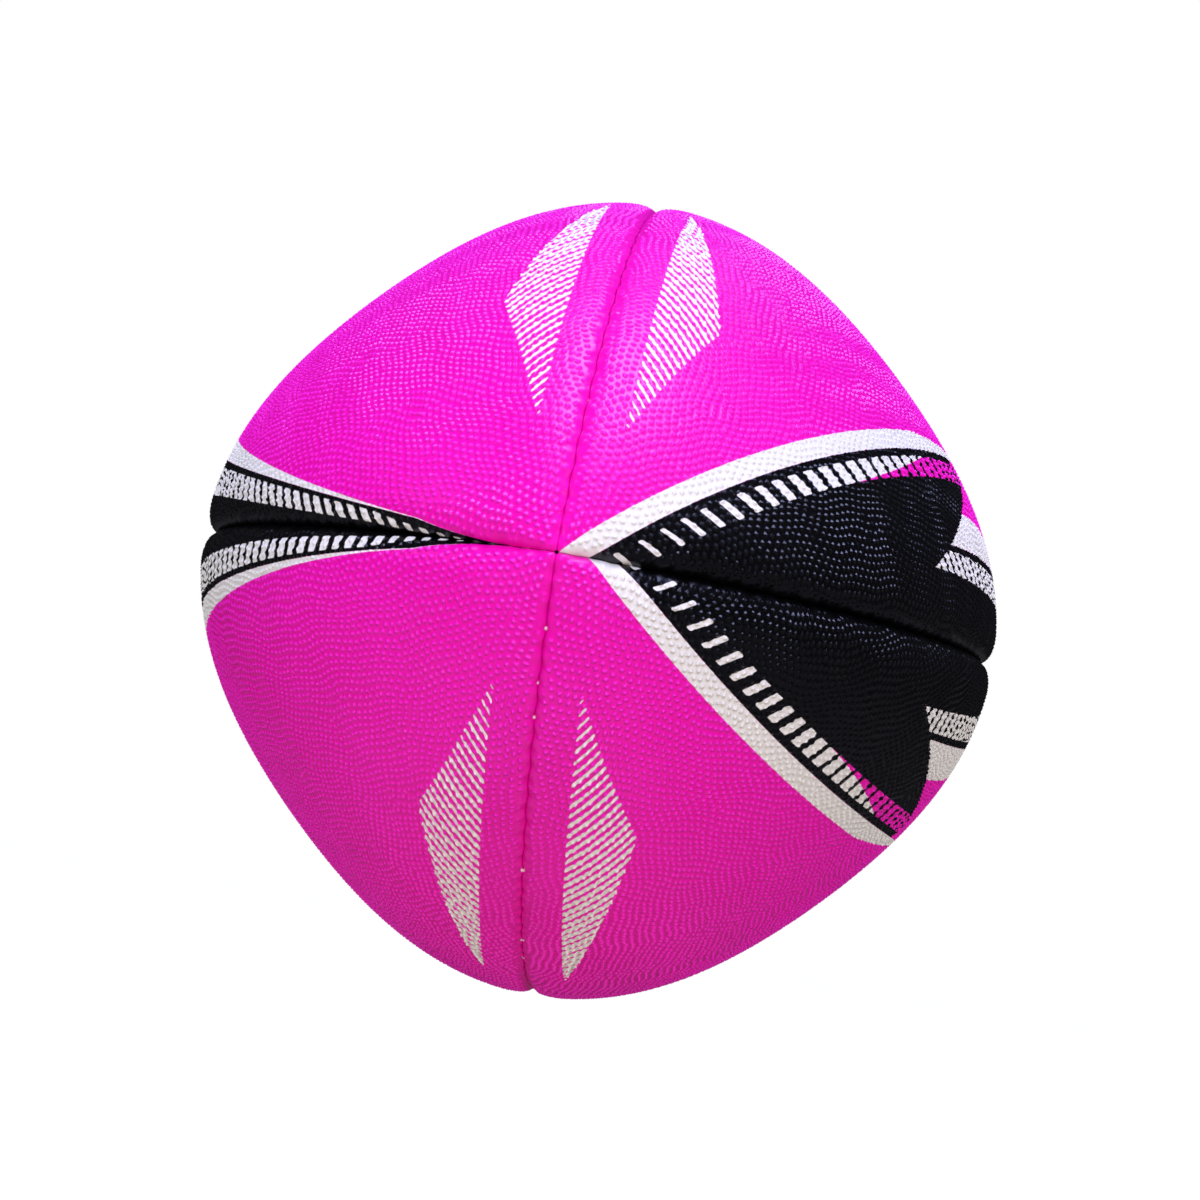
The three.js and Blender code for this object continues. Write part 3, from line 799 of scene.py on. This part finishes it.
# %% Read the print from the mesh
fields = {}
for name, parts in (
    ("ink", ("black", "leaf", "pink")),
    ("border", ("border", "border_half", "tick_share")),
    ("tick", ("ticks", "tick_half", "tick_phase")),
    ("hatch", ("hatch_phase", "hatch_share", "behind")),
):
    read = add(tree, "ShaderNodeAttribute", attribute_name=name)
    split = add(tree, "ShaderNodeSeparateXYZ", {0: read.outputs["Vector"]})
    fields.update(zip(parts, split.outputs))
print("fields:", ", ".join(fields))

# %% Lay the inks over the rubber
PAINTED_TOP_SHARE = 0.9  # of the paler colour on a pimple's top, a painted highlight
BLOTCH_SHARE = 0.2
MEAN_TICK_PITCH = 5.0  # between the wedge's and the band's, to turn a phase into mm

# A pimple's top takes the paler colour by its height, a painted highlight over painted shade between the
# pimples; soft blotches add tone that varies at random
height = add(tree, "ShaderNodeAttribute", attribute_name="pimple").outputs["Fac"]
dome = add(tree, "ShaderNodeMapRange", {"Value": height}, interpolation_type="SMOOTHSTEP").outputs[0]
fade = add(tree, "ShaderNodeMath", {0: blotch, 1: BLOTCH_SHARE}, operation="MULTIPLY").outputs[0]
paler = {0: dome, 1: PAINTED_TOP_SHARE, 2: fade}
tops = add(tree, "ShaderNodeMath", paler, operation="MULTIPLY_ADD", use_clamp=True).outputs[0]
rubber, black_ink, white_ink = (mixed(tops, *shades) for shades in (PINK, BLACK_INK, WHITE_INK))
strips = []
for name, half in (("border", "border_half"), ("ticks", "tick_half")):
    strip = {0: inside_strip(fields[name], fields[half]), 1: fields["behind"]}
    strips.append(add(tree, "ShaderNodeMath", strip, operation="MINIMUM").outputs[0])
border_strip, tick_row = strips
tick_stripes = inside_stripes(fields["tick_phase"], fields["tick_share"], MEAN_TICK_PITCH)
hatch_pitch = HATCH_PITCH / np.hypot(1, HATCH_LEAN)  # square to its lines
hatching = inside_stripes(fields["hatch_phase"], fields["hatch_share"], hatch_pitch)
tick_ink = mixed(printed_mask(fields["pink"]), white_ink, rubber)
colour = rubber
for field, ink in (
    (fields["black"], black_ink),
    (border_strip, white_ink),
    (inside_both(tick_stripes, tick_row), tick_ink),
    (inside_both(hatching, fields["leaf"]), white_ink),
):
    colour = mixed(printed_mask(field), colour, ink)
print("nodes for the print:", len(tree.nodes))

# %% The surface of the rubber
RUBBER_IOR = 1.5
ROUGHNESS = (0.25, 0.38)  # it changes in soft blotches
PIMPLE_RELIEF = 0.44  # rounds off the facets of a pimple
GRIT_RELIEF, GRIT_STRENGTH = 0.04, 0.25

blotchy = {"Value": blotch, "To Min": ROUGHNESS[0], "To Max": ROUGHNESS[1]}
satin = add(tree, "ShaderNodeMapRange", blotchy).outputs[0]
domes = add(tree, "ShaderNodeBump", {"Height": dome, "Distance": PIMPLE_RELIEF * METRES}).outputs[0]
gritty = {"Height": grit, "Strength": GRIT_STRENGTH, "Distance": GRIT_RELIEF * METRES, "Normal": domes}
relief = add(tree, "ShaderNodeBump", gritty).outputs[0]
look = {"Base Color": colour, "Roughness": satin, "Normal": relief, "IOR": RUBBER_IOR}
shader = add(tree, "ShaderNodeBsdfPrincipled", look)
add(tree, "ShaderNodeOutputMaterial", {"Surface": shader.outputs[0]})
print("cover material:", len(tree.nodes), "nodes")

# %% [markdown]
# The four cover panels take three skins: one for the first and the third, its mirror image for the
# fourth, and that image with the valve's hole for the second. Each is turned into place and has a
# print of its own. A map lays each part of a skin out flat without overlaps, for a program that
# wants the finish as one picture.

# %% A flat map of a skin
MAP_NAME = "OFBake"
MAP_EDGE, MAP_FILL = 0.01, 0.98
MAP_SCALE = MAP_FILL / (2 * line_length[-1])
MAP_PLACES = {"outer": (1.0, (0.5, 0.22)), "inner": (0.5, (0.26, 0.56))}  # scale and centre
RIM_LEVELS, WALL_LEVELS = (0.72, 0.88), (0.92, 0.96)


def strip_map(count, rows, low, high):
    """Flat corners of rows of ring faces: across by steps, and up from low to high."""
    steps = np.arange(count)[:, None]
    pairs = (steps + [1, 0, 0], [0, 0, 1]), (steps + [1, 0, 1], [0, 1, 1])
    corners = []
    for row in range(rows):
        for across, up in pairs:
            level = low + (high - low) * (row + np.array(up)) / rows
            corners.append(np.stack(np.broadcast_arrays(MAP_EDGE + MAP_FILL * across / count, level), -1))
    return np.concatenate(corners)


def lay_out(piece, skin):
    """Writes the flat map: the outer skin along the bottom, the inner at half size above it, and the rim
    and the hole's wall as strips along the top, in the order of the faces."""
    total, faces, flat = len(skin["points"]), skin["faces"], skin["flat"]
    count = len(OUTLINE_SIDE)
    first = total - sum(len(field) for _, field in flat.values())
    loop_starts = {"outer": 0, "inner": first - count}
    corners = []
    for name, (loop, field) in flat.items():
        scale, centre = MAP_PLACES[name]
        spot = np.zeros((total, 2))
        spot[loop_starts[name] : loop_starts[name] + count] = loop
        spot[first : first + len(field)] = field
        first += len(field)
        corners.append(spot[faces[name]] * MAP_SCALE * scale + np.array(centre))
    rim_steps = len(faces["rim"]) // (2 * count)
    corners.append(strip_map(count, rim_steps, *RIM_LEVELS))
    corners.append(strip_map(HOLE_POINTS, 1, *WALL_LEVELS)[: len(faces["wall"]), ::-1])
    layer = piece.data.uv_layers.new(name=MAP_NAME)
    layer.data.foreach_set("uv", np.float32(np.concatenate(corners)).ravel())


def add_layer(name, skin, turn, material, node):
    """A piece made from a layer's skin, turned to its panel's place and laid out flat."""
    faces = np.concatenate(list(skin["faces"].values()))
    piece = add_piece(name, turned(skin["points"], turn), faces, material, node)
    lay_out(piece, skin)
    return piece


print("a millimetre of panel takes", round(MAP_SCALE, 5), "of the map's width")

# %% The four cover panels
for turn, (panel, skin, print_fields) in enumerate(zip(PANELS, cover_skins, cover_prints)):
    name, node = f"rubber_panel_{panel}", f"cover_panel_{panel}"
    piece = add_layer(name, skin, turn, cover_rubber, node)
    add_field(piece, "pimple", skin["lift"] / PIMPLE_HEIGHT)
    for field_name, values in print_fields.items():
        add_field(piece, field_name, values)

# %% [markdown]
# Under the rubber two plies of cloth keep the ball from stretching: cotton next to the rubber and
# polyester inside it, both dipped in adhesive. They follow the panel round the fold, and stop short
# of the tips. Plain weave is a sine wave along the warp times one along the weft. Real threads are
# about 0.5 mm apart; these are drawn at 1 mm, so that they still show.

# %% The cloth plies
PLY_END = np.radians(80.5)
WEAVE_MM = 1.0
WEAVE_RELIEF, WEAVE_STRENGTH = 0.1, 0.5
WAVE_LENGTH = np.pi / 10  # of the wave node at a scale of 1


def woven_material(name, thread, gap, roughness):
    """Plain weave on the flat map: the colour and the height follow two crossed sine waves."""
    material, tree = new_material(name)
    flat = add(tree, "ShaderNodeUVMap", uv_map=MAP_NAME).outputs[0]
    scale = WAVE_LENGTH / (WEAVE_MM * MAP_SCALE)
    waves = []
    for direction in ("X", "Y"):
        settings = {"wave_type": "BANDS", "bands_direction": direction, "wave_profile": "SIN"}
        wave = add(tree, "ShaderNodeTexWave", {"Vector": flat, "Scale": scale}, **settings)
        waves.append(wave.outputs["Fac"])
    weave = add(tree, "ShaderNodeMath", {0: waves[0], 1: waves[1]}, operation="MULTIPLY").outputs[0]
    colour = add(tree, "ShaderNodeMix", {0: weave, 6: linear(gap), 7: linear(thread)}, data_type="RGBA")
    raised = {"Height": weave, "Strength": WEAVE_STRENGTH, "Distance": WEAVE_RELIEF * METRES}
    relief = add(tree, "ShaderNodeBump", raised)
    look = {"Base Color": colour.outputs[2], "Roughness": roughness, "Normal": relief.outputs[0]}
    shader = add(tree, "ShaderNodeBsdfPrincipled", look)
    add(tree, "ShaderNodeOutputMaterial", {"Surface": shader.outputs[0]})
    return material


plies = {
    "cotton": woven_material("cotton_plain_weave", "#ece5d8", "#b8ac97", 0.9),
    "polyester": woven_material("polyester_plain_weave", "#dcdee1", "#a4a8ae", 0.6),
}
for cloth, material in plies.items():
    skins = panel_skins(cloth, PLY_END, coarse_flat, coarse_raised)
    for turn, (panel, skin) in enumerate(zip(PANELS, skins)):
        name, node = f"{cloth}_backing_{panel}", f"{cloth}_ply_{panel}"
        add_layer(name, skin, turn, material, node)

# %% [markdown]
# The bladder, the threads and the valve are all rings of points joined each to the next. One
# function joins them, and turns the faces outwards by the sign of the volume they enclose.

# %% Skins from rings of points
UP = np.array([0.0, 0.0, 1.0])


def ring_skin(rows, caps=None):
    """Rings in order, closed by two cap points, or into one another where there are none."""
    count, size = rows.shape[:2]
    number = np.arange(count * size).reshape(count, size)
    points = rows.reshape(-1, 3)
    faces = [ring_faces(a, b) for a, b in zip(number[:-1], number[1:])]
    if caps is None:
        faces.append(ring_faces(number[-1], number[0]))
    else:
        for ring, cap in ((number[0][::-1], len(points)), (number[-1], len(points) + 1)):
            faces.append(np.stack([np.roll(ring, -1), ring, np.full(size, cap)], 1))
        points = np.concatenate([points, caps])
    faces = np.concatenate(faces)
    a, b, c = np.moveaxis(points[faces], 1, 0)
    return points, faces if np.sum(a * np.cross(b, c)) > 0 else faces[:, ::-1]


square = np.array([[1.0, 0.0, 0.0], [0.0, 1.0, 0.0], [-1.0, 0.0, 0.0], [0.0, -1.0, 0.0]])
box = ring_skin(np.stack([square, square + UP]), np.stack([0 * UP, UP]))
print("a box from two rings of 4 points and two caps:", len(box[1]), "triangles")

# %% [markdown]
# The bladder is a thin bag of dipped latex, blown up against the plies. It swells into each panel
# as a lobe and dips under the turned-in flanges, so its depth below the outside falls off from the
# bridge under a seam to the wall under a panel.

# %% Latex
PATCH_DETAIL = 4.0


def plain_material(name, hex_colour, second, patch_mm, roughness, relief_mm):
    """A matt rubber or thread: two close colours in soft patches, and a fine relief of the same size."""
    material, tree = new_material(name)
    place = add(tree, "ShaderNodeTexCoord").outputs["Object"]
    grain = {"Vector": place, "Scale": 1 / (patch_mm * METRES), "Detail": PATCH_DETAIL}
    patch = add(tree, "ShaderNodeTexNoise", grain).outputs[0]
    shades = {0: patch, 6: linear(hex_colour), 7: linear(second)}
    colour = add(tree, "ShaderNodeMix", shades, data_type="RGBA")
    relief = add(tree, "ShaderNodeBump", {"Height": patch, "Distance": relief_mm * METRES})
    look = {"Base Color": colour.outputs[2], "Roughness": roughness, "Normal": relief.outputs[0]}
    shader = add(tree, "ShaderNodeBsdfPrincipled", look)
    add(tree, "ShaderNodeOutputMaterial", {"Surface": shader.outputs[0]})
    return material


latex = plain_material("dipped_latex", "#cdac7c", "#c09c69", 14.0, 0.42, 0.05)
print(latex.name, "has", len(latex.node_tree.nodes), "nodes")

# %% The bladder
BLADDER_END = np.radians(79.5)
BLADDER_TIP = 130.2
BLADDER_RINGS, LOBE_POINTS = 81, 60
LOBE_EDGE = 0.75
LOBE_BEND, LOBE_POWER = 1.1, 1.5
BRIDGE_DEPTH = 4.9  # below the bladder's own depth, under a seam


def lobed_rings(depth):
    """Rings of the bladder at one depth. The extra depth is the exponential of minus a power of the way
    past the lobe's edge, over its bend."""
    stations = BLADDER_END * np.sin(np.linspace(-1, 1, BLADDER_RINGS) * QUARTER)
    angles = np.linspace(0, QUARTER, LOBE_POINTS, endpoint=False)
    station, angle = np.meshgrid(stations, angles, indexing="ij")
    offset = angle - MIDDLE
    lateral = seam_lateral(station, MIDDLE - np.abs(offset))
    past = np.maximum(lateral - LOBE_EDGE - depth, 0) / LOBE_BEND
    dip = np.exp(-(past**LOBE_POWER))
    quarter = sunk_point(station, offset, depth + BRIDGE_DEPTH * dip, 1 - dip)
    lobes = [turned(quarter.reshape(-1, 3), turn).reshape(quarter.shape) for turn in range(4)]
    return np.concatenate(lobes, axis=1)


bag = []
for depth in LAYER_DEPTHS["bladder"]:
    tip = BLADDER_TIP - (depth - LAYER_DEPTHS["bladder"][0])
    bag.append(ring_skin(lobed_rings(depth), np.array([[0, -tip, 0], [0, tip, 0]])))
(outer_points, outer_faces), (inner_points, inner_faces) = bag
points = np.concatenate([outer_points, inner_points])
faces = np.concatenate([outer_faces, inner_faces[:, ::-1] + len(outer_points)])
add_piece("latex_bladder", points, faces, latex, "bladder")

# %% [markdown]
# Each seam is sewn with one waxed thread of two twisted strands. It crosses from panel to panel at
# every stitch, where a pale speck shows in the fold, and runs inside the flange between stitches.
# The thread of the two printed seams lies deeper, in the dark of their wider grooves.

# %% The seam threads
THREAD_END = np.radians(84.6)
THREAD_RADIUS = 0.4
THREAD_SIDES = 8
TWIST_LENGTH = 2.4
TWIST_OVAL = 0.15  # how far the two strands stand out of a round section
STITCH_SAMPLES = 14
STITCH_SWING = 0.9
STITCH_RISE = 1.9
CROSSING_SNAP = 16.0  # how sharply the thread crosses over
CROSSING_BELL = 0.11  # half the width of its rise there, as a share of a stitch
CROSSING_DEPTH = {"right": 5.0, "top": 2.4, "left": 5.0, "bottom": 1.6}
CROSSING_SPREAD = 3.5


def thread_rings(crossing, seed):
    """Rings round the thread's path beside the seam at angle 0. Sideways it goes as tanh of the distance
    from the nearest stitch, and it rises there as a bell curve. Its section is an oval that turns."""
    ends = along_seam(np.array([-THREAD_END, THREAD_END]))
    along = np.linspace(*ends, STITCHES * STITCH_SAMPLES)
    station = np.interp(along, seam_length, line_stations)
    stitch = np.round(along / STITCH_LENGTH)
    past = along / STITCH_LENGTH - stitch
    narrow = narrowing(station)
    lateral = STITCH_SWING * np.where(stitch % 2, -1.0, 1.0) * np.tanh(CROSSING_SNAP * past) * narrow
    slack = CROSSING_SPREAD * np.random.default_rng(seed).random(STITCHES + 1)[stitch.astype(int)]
    dive = STITCH_RISE * (1 - np.exp(-((past / CROSSING_BELL) ** 2)))
    sunk = (crossing + slack + dive) * narrow
    seam = np.zeros_like(station)
    path = ball_point(station, seam) - ball_normal(station, seam) * sunk[:, None]
    path[:, 2] += lateral
    forward = unit(np.gradient(path, axis=0))
    side = unit(np.cross(forward, ball_normal(station, seam)))
    up = np.cross(side, forward)
    around = np.linspace(0, 2 * np.pi, THREAD_SIDES, endpoint=False)
    oval = 1 + TWIST_OVAL * np.cos(2 * (around - 2 * np.pi * along[:, None] / TWIST_LENGTH))
    reach = THREAD_RADIUS * oval[..., None]
    ring = np.cos(around)[:, None] * side[:, None] + np.sin(around)[:, None] * up[:, None]
    return path[:, None] + reach * ring, path[[0, -1]]


waxed = plain_material("waxed_twisted_thread", "#efd9e2", "#dcb4c6", 0.5, 0.55, 0.05)
for turn, (seam, crossing) in enumerate(CROSSING_DEPTH.items()):
    points, faces = ring_skin(*thread_rings(crossing, turn))
    name, node = f"lock_stitch_{seam}", f"seam_thread_{seam}"
    add_piece(name, turned(points, turn), faces, waxed, node)

# %% [markdown]
# The valve sits flush in the middle of the upper left panel: a moulded stem with a disc that is
# bonded under the bladder, and in its bore a softer plug that closes round a pump's needle. Both
# are round, so a profile of radii and heights is turned about the valve's axis.

# %% The valve
AXIS = np.array([-1.0, 0.0, 1.0]) / np.sqrt(2)
ACROSS = np.array([1.0, 0.0, 1.0]) / np.sqrt(2)
LENGTHWISE = np.array([0.0, 1.0, 0.0])
HEAD = AXIS * MEAN_RADIUS * (1 - SQUARENESS)
LATHE_STEPS = 48
ROUNDING = 0.35
STEM_PROFILE = [  # radius and height of each point
    (1.2, -11.0), (1.2, -9.5), (2.6, -9.5), (2.6, -ROUNDING), (2.7, -0.1), (2.95, 0.0), (4.15, 0.0),
    (4.4, -0.1), (4.5, -ROUNDING), (4.5, -5.38), (4.65, -5.53), (10.7, -5.53), (11.0, -5.78), (11.0, -6.48),
    (10.7, -6.73), (4.65, -6.73), (4.5, -6.88), (4.5, -10.7), (4.2, -11.0),
]
PLUG_PROFILE = [
    (0.45, -1.75), (0.9, -1.45), (1.2, -0.8), (1.45, -0.45), (1.7, -0.4), (2.1, -0.45), (2.3, -0.7),
    (2.3, -8.9), (2.0, -9.2),
]
PLUG_CAPS = np.array([-1.8, -9.2])  # heights of the dimple's bottom and of the foot, on the axis


def lathe(profile):
    """Rings of a profile turned about the valve's axis, with heights from the head of the stem."""
    turn = np.linspace(0, 2 * np.pi, LATHE_STEPS, endpoint=False)
    round_axis = np.cos(turn)[:, None] * ACROSS + np.sin(turn)[:, None] * LENGTHWISE
    radius, height = np.array(profile).T
    return HEAD + height[:, None, None] * AXIS + radius[:, None, None] * round_axis


valve_rubber = plain_material("moulded_valve_rubber", "#17171b", "#222227", 1.5, 0.5, 0.03)
core_rubber = plain_material("soft_core_rubber", "#3b3b3f", "#46464b", 1.5, 0.6, 0.03)
points, faces = ring_skin(lathe(STEM_PROFILE))
add_piece("valve_stem", points, faces, valve_rubber, "valve_housing")
points, faces = ring_skin(lathe(PLUG_PROFILE), HEAD + PLUG_CAPS[:, None] * AXIS)
add_piece("valve_plug", points, faces, core_rubber, "valve_core")

# %% [markdown]
# The ball is held in the air with a seam below, as a hand or a tee holds it, over a plain pale
# floor. Light is that of a small studio: one wide cool lamp overhead, a little to the right and in
# front, and weaker fills round the ball that give no highlight. The upper fills are cool or neutral
# and the lower ones warm, so that the pink turns redder below. The floor and the faint surround look
# white to the camera only, so that they add no light of their own.

# %% Floor
FLOOR_HEIGHT = -0.198
FLOOR_SIZE = 6.0
FLOOR_GLOW = 0.985  # to the camera, and light on its paint adds the rest
WHITE = (1, 1, 1, 1)

floor_material, tree = new_material("pale_studio_floor")
to_camera = add(tree, "ShaderNodeLightPath").outputs["Is Camera Ray"]
from_below = add(tree, "ShaderNodeNewGeometry").outputs["Backfacing"]
paint = add(tree, "ShaderNodeBsdfDiffuse", {"Color": linear("#5a5957")})
dim_paint = add(tree, "ShaderNodeBsdfDiffuse", {"Color": linear("#777777")})
glow = add(tree, "ShaderNodeEmission", {"Color": WHITE, "Strength": FLOOR_GLOW})
white = add(tree, "ShaderNodeAddShader", {0: dim_paint.outputs[0], 1: glow.outputs[0]})
seen = add(tree, "ShaderNodeMixShader", {0: to_camera, 1: paint.outputs[0], 2: white.outputs[0]})
clear = add(tree, "ShaderNodeBsdfTransparent")
front = add(tree, "ShaderNodeMixShader", {0: from_below, 1: seen.outputs[0], 2: clear.outputs[0]})
add(tree, "ShaderNodeOutputMaterial", {"Surface": front.outputs[0]})
corners = np.array([[-1, -1, 0], [1, -1, 0], [1, 1, 0], [-1, 1, 0]]) * FLOOR_SIZE / 2
floor_mesh = bpy.data.meshes.new("studio_floor")
floor_mesh.from_pydata((corners + [0, 0, FLOOR_HEIGHT]).tolist(), [], [[0, 1, 2, 3]])
floor_mesh.materials.append(floor_material)
floor = bpy.data.objects.new("studio_floor", floor_mesh)
bpy.context.scene.collection.objects.link(floor)
print("floor", FLOOR_SIZE, "m wide at height", FLOOR_HEIGHT)

# %% Surround
FAINT = (0.035, 0.035, 0.04, 1)

world = bpy.data.worlds.new("even_surround")
bpy.context.scene.world = world
world.use_nodes = True
tree = world.node_tree
tree.nodes.clear()
to_camera = add(tree, "ShaderNodeLightPath").outputs["Is Camera Ray"]
surround = add(tree, "ShaderNodeBackground", {"Color": FAINT})
backdrop = add(tree, "ShaderNodeBackground", {"Color": WHITE})
sky = add(tree, "ShaderNodeMixShader", {0: to_camera, 1: surround.outputs[0], 2: backdrop.outputs[0]})
add(tree, "ShaderNodeOutputWorld", {"Surface": sky.outputs[0]})
print("surround:", world.name)

# %% Lamps
WIDE_SIZE, FILL_SIZE = 0.7, 0.34
COOL, NEUTRAL, WARM = (1.0, 1.07, 1.88), (1.0, 1.05, 1.1), (1.0, 0.88, 0.76)


def add_lamp(name, position, size, power, colour):
    """A square area lamp that faces the middle of the ball."""
    lamp = bpy.data.lights.new(name, "AREA")
    lamp.size, lamp.energy, lamp.color = size, power, colour
    holder = bpy.data.objects.new(name, lamp)
    holder.location = position
    holder.rotation_euler = (-Vector(position)).to_track_quat("-Z", "Y").to_euler()
    bpy.context.scene.collection.objects.link(holder)
    print(name, "at", position, "with", power, "W")
    return holder


add_lamp("wide_lamp_overhead", (0.1, -0.3, 1.1), WIDE_SIZE, 8.3, COOL)
for name, position, power, colour in (
    ("fill_lamp_in_front", (0.0, -0.95, 0.65), 3.3, COOL),
    ("fill_lamp_upper_left", (-0.9, -0.5, 0.3), 4.9, NEUTRAL),
    ("fill_lamp_upper_right", (0.9, -0.5, 0.3), 3.4, NEUTRAL),
    ("fill_lamp_lower_left", (-0.5, -1.0, -0.12), 3.6, WARM),
    ("fill_lamp_lower_right", (0.5, -1.0, -0.12), 7.0, WARM),
    ("fill_lamp_below", (-0.01, -0.06, -0.185), 0.2, WARM),
    ("fill_lamp_behind", (0.0, 1.1, 0.3), 8.0, WARM),
):
    fill = add_lamp(name, position, FILL_SIZE, power, colour)
    fill.visible_camera = fill.visible_glossy = False  # it only lifts the shade, and adds no highlight

# %% [markdown]
# The camera looks almost along the long axis, from a little below and to the right of the near tip,
# and is rolled so that the seams lean as they do in a hand. A long lens keeps the ball's outline
# close to its true section.

# %% Camera
CAMERA_DISTANCE = 0.8
AZIMUTH, ELEVATION, ROLL = np.radians([4.49, -3.826, 9.468])
FOCAL_PIXELS, FRAME_PIXELS = 3186.7, 1200
SENSOR_MM = 36.0
AIM = (-0.0002, 0.00098)  # sideways and up, in metres

level_away = np.array([np.sin(AZIMUTH), -np.cos(AZIMUTH), 0.0])
away = np.cos(ELEVATION) * level_away + np.sin(ELEVATION) * UP
level = unit(np.cross(-away, UP))
upright = np.cross(level, -away)
right = np.cos(ROLL) * level + np.sin(ROLL) * upright
upward = np.cos(ROLL) * upright - np.sin(ROLL) * level
eye = CAMERA_DISTANCE * away + AIM[0] * right + AIM[1] * upward
lens = bpy.data.cameras.new("studio_camera")
lens.sensor_width = SENSOR_MM
lens.lens = FOCAL_PIXELS / FRAME_PIXELS * SENSOR_MM
camera = bpy.data.objects.new("studio_camera", lens)
axes_and_eye = np.column_stack([right, upward, away, eye])
camera.matrix_world = Matrix([*axes_and_eye.tolist(), [0, 0, 0, 1]])
bpy.context.scene.collection.objects.link(camera)
bpy.context.scene.camera = camera
bpy.context.scene.view_settings.view_transform = "Standard"
print("camera at", eye.round(3), "lens", round(lens.lens, 1), "mm")

# %% [markdown]
# The dressed ball is meant to keep the size of the imported solids. Last, the scene is brought up to date.

# %% Bring the scene up to date
bpy.context.view_layer.update()
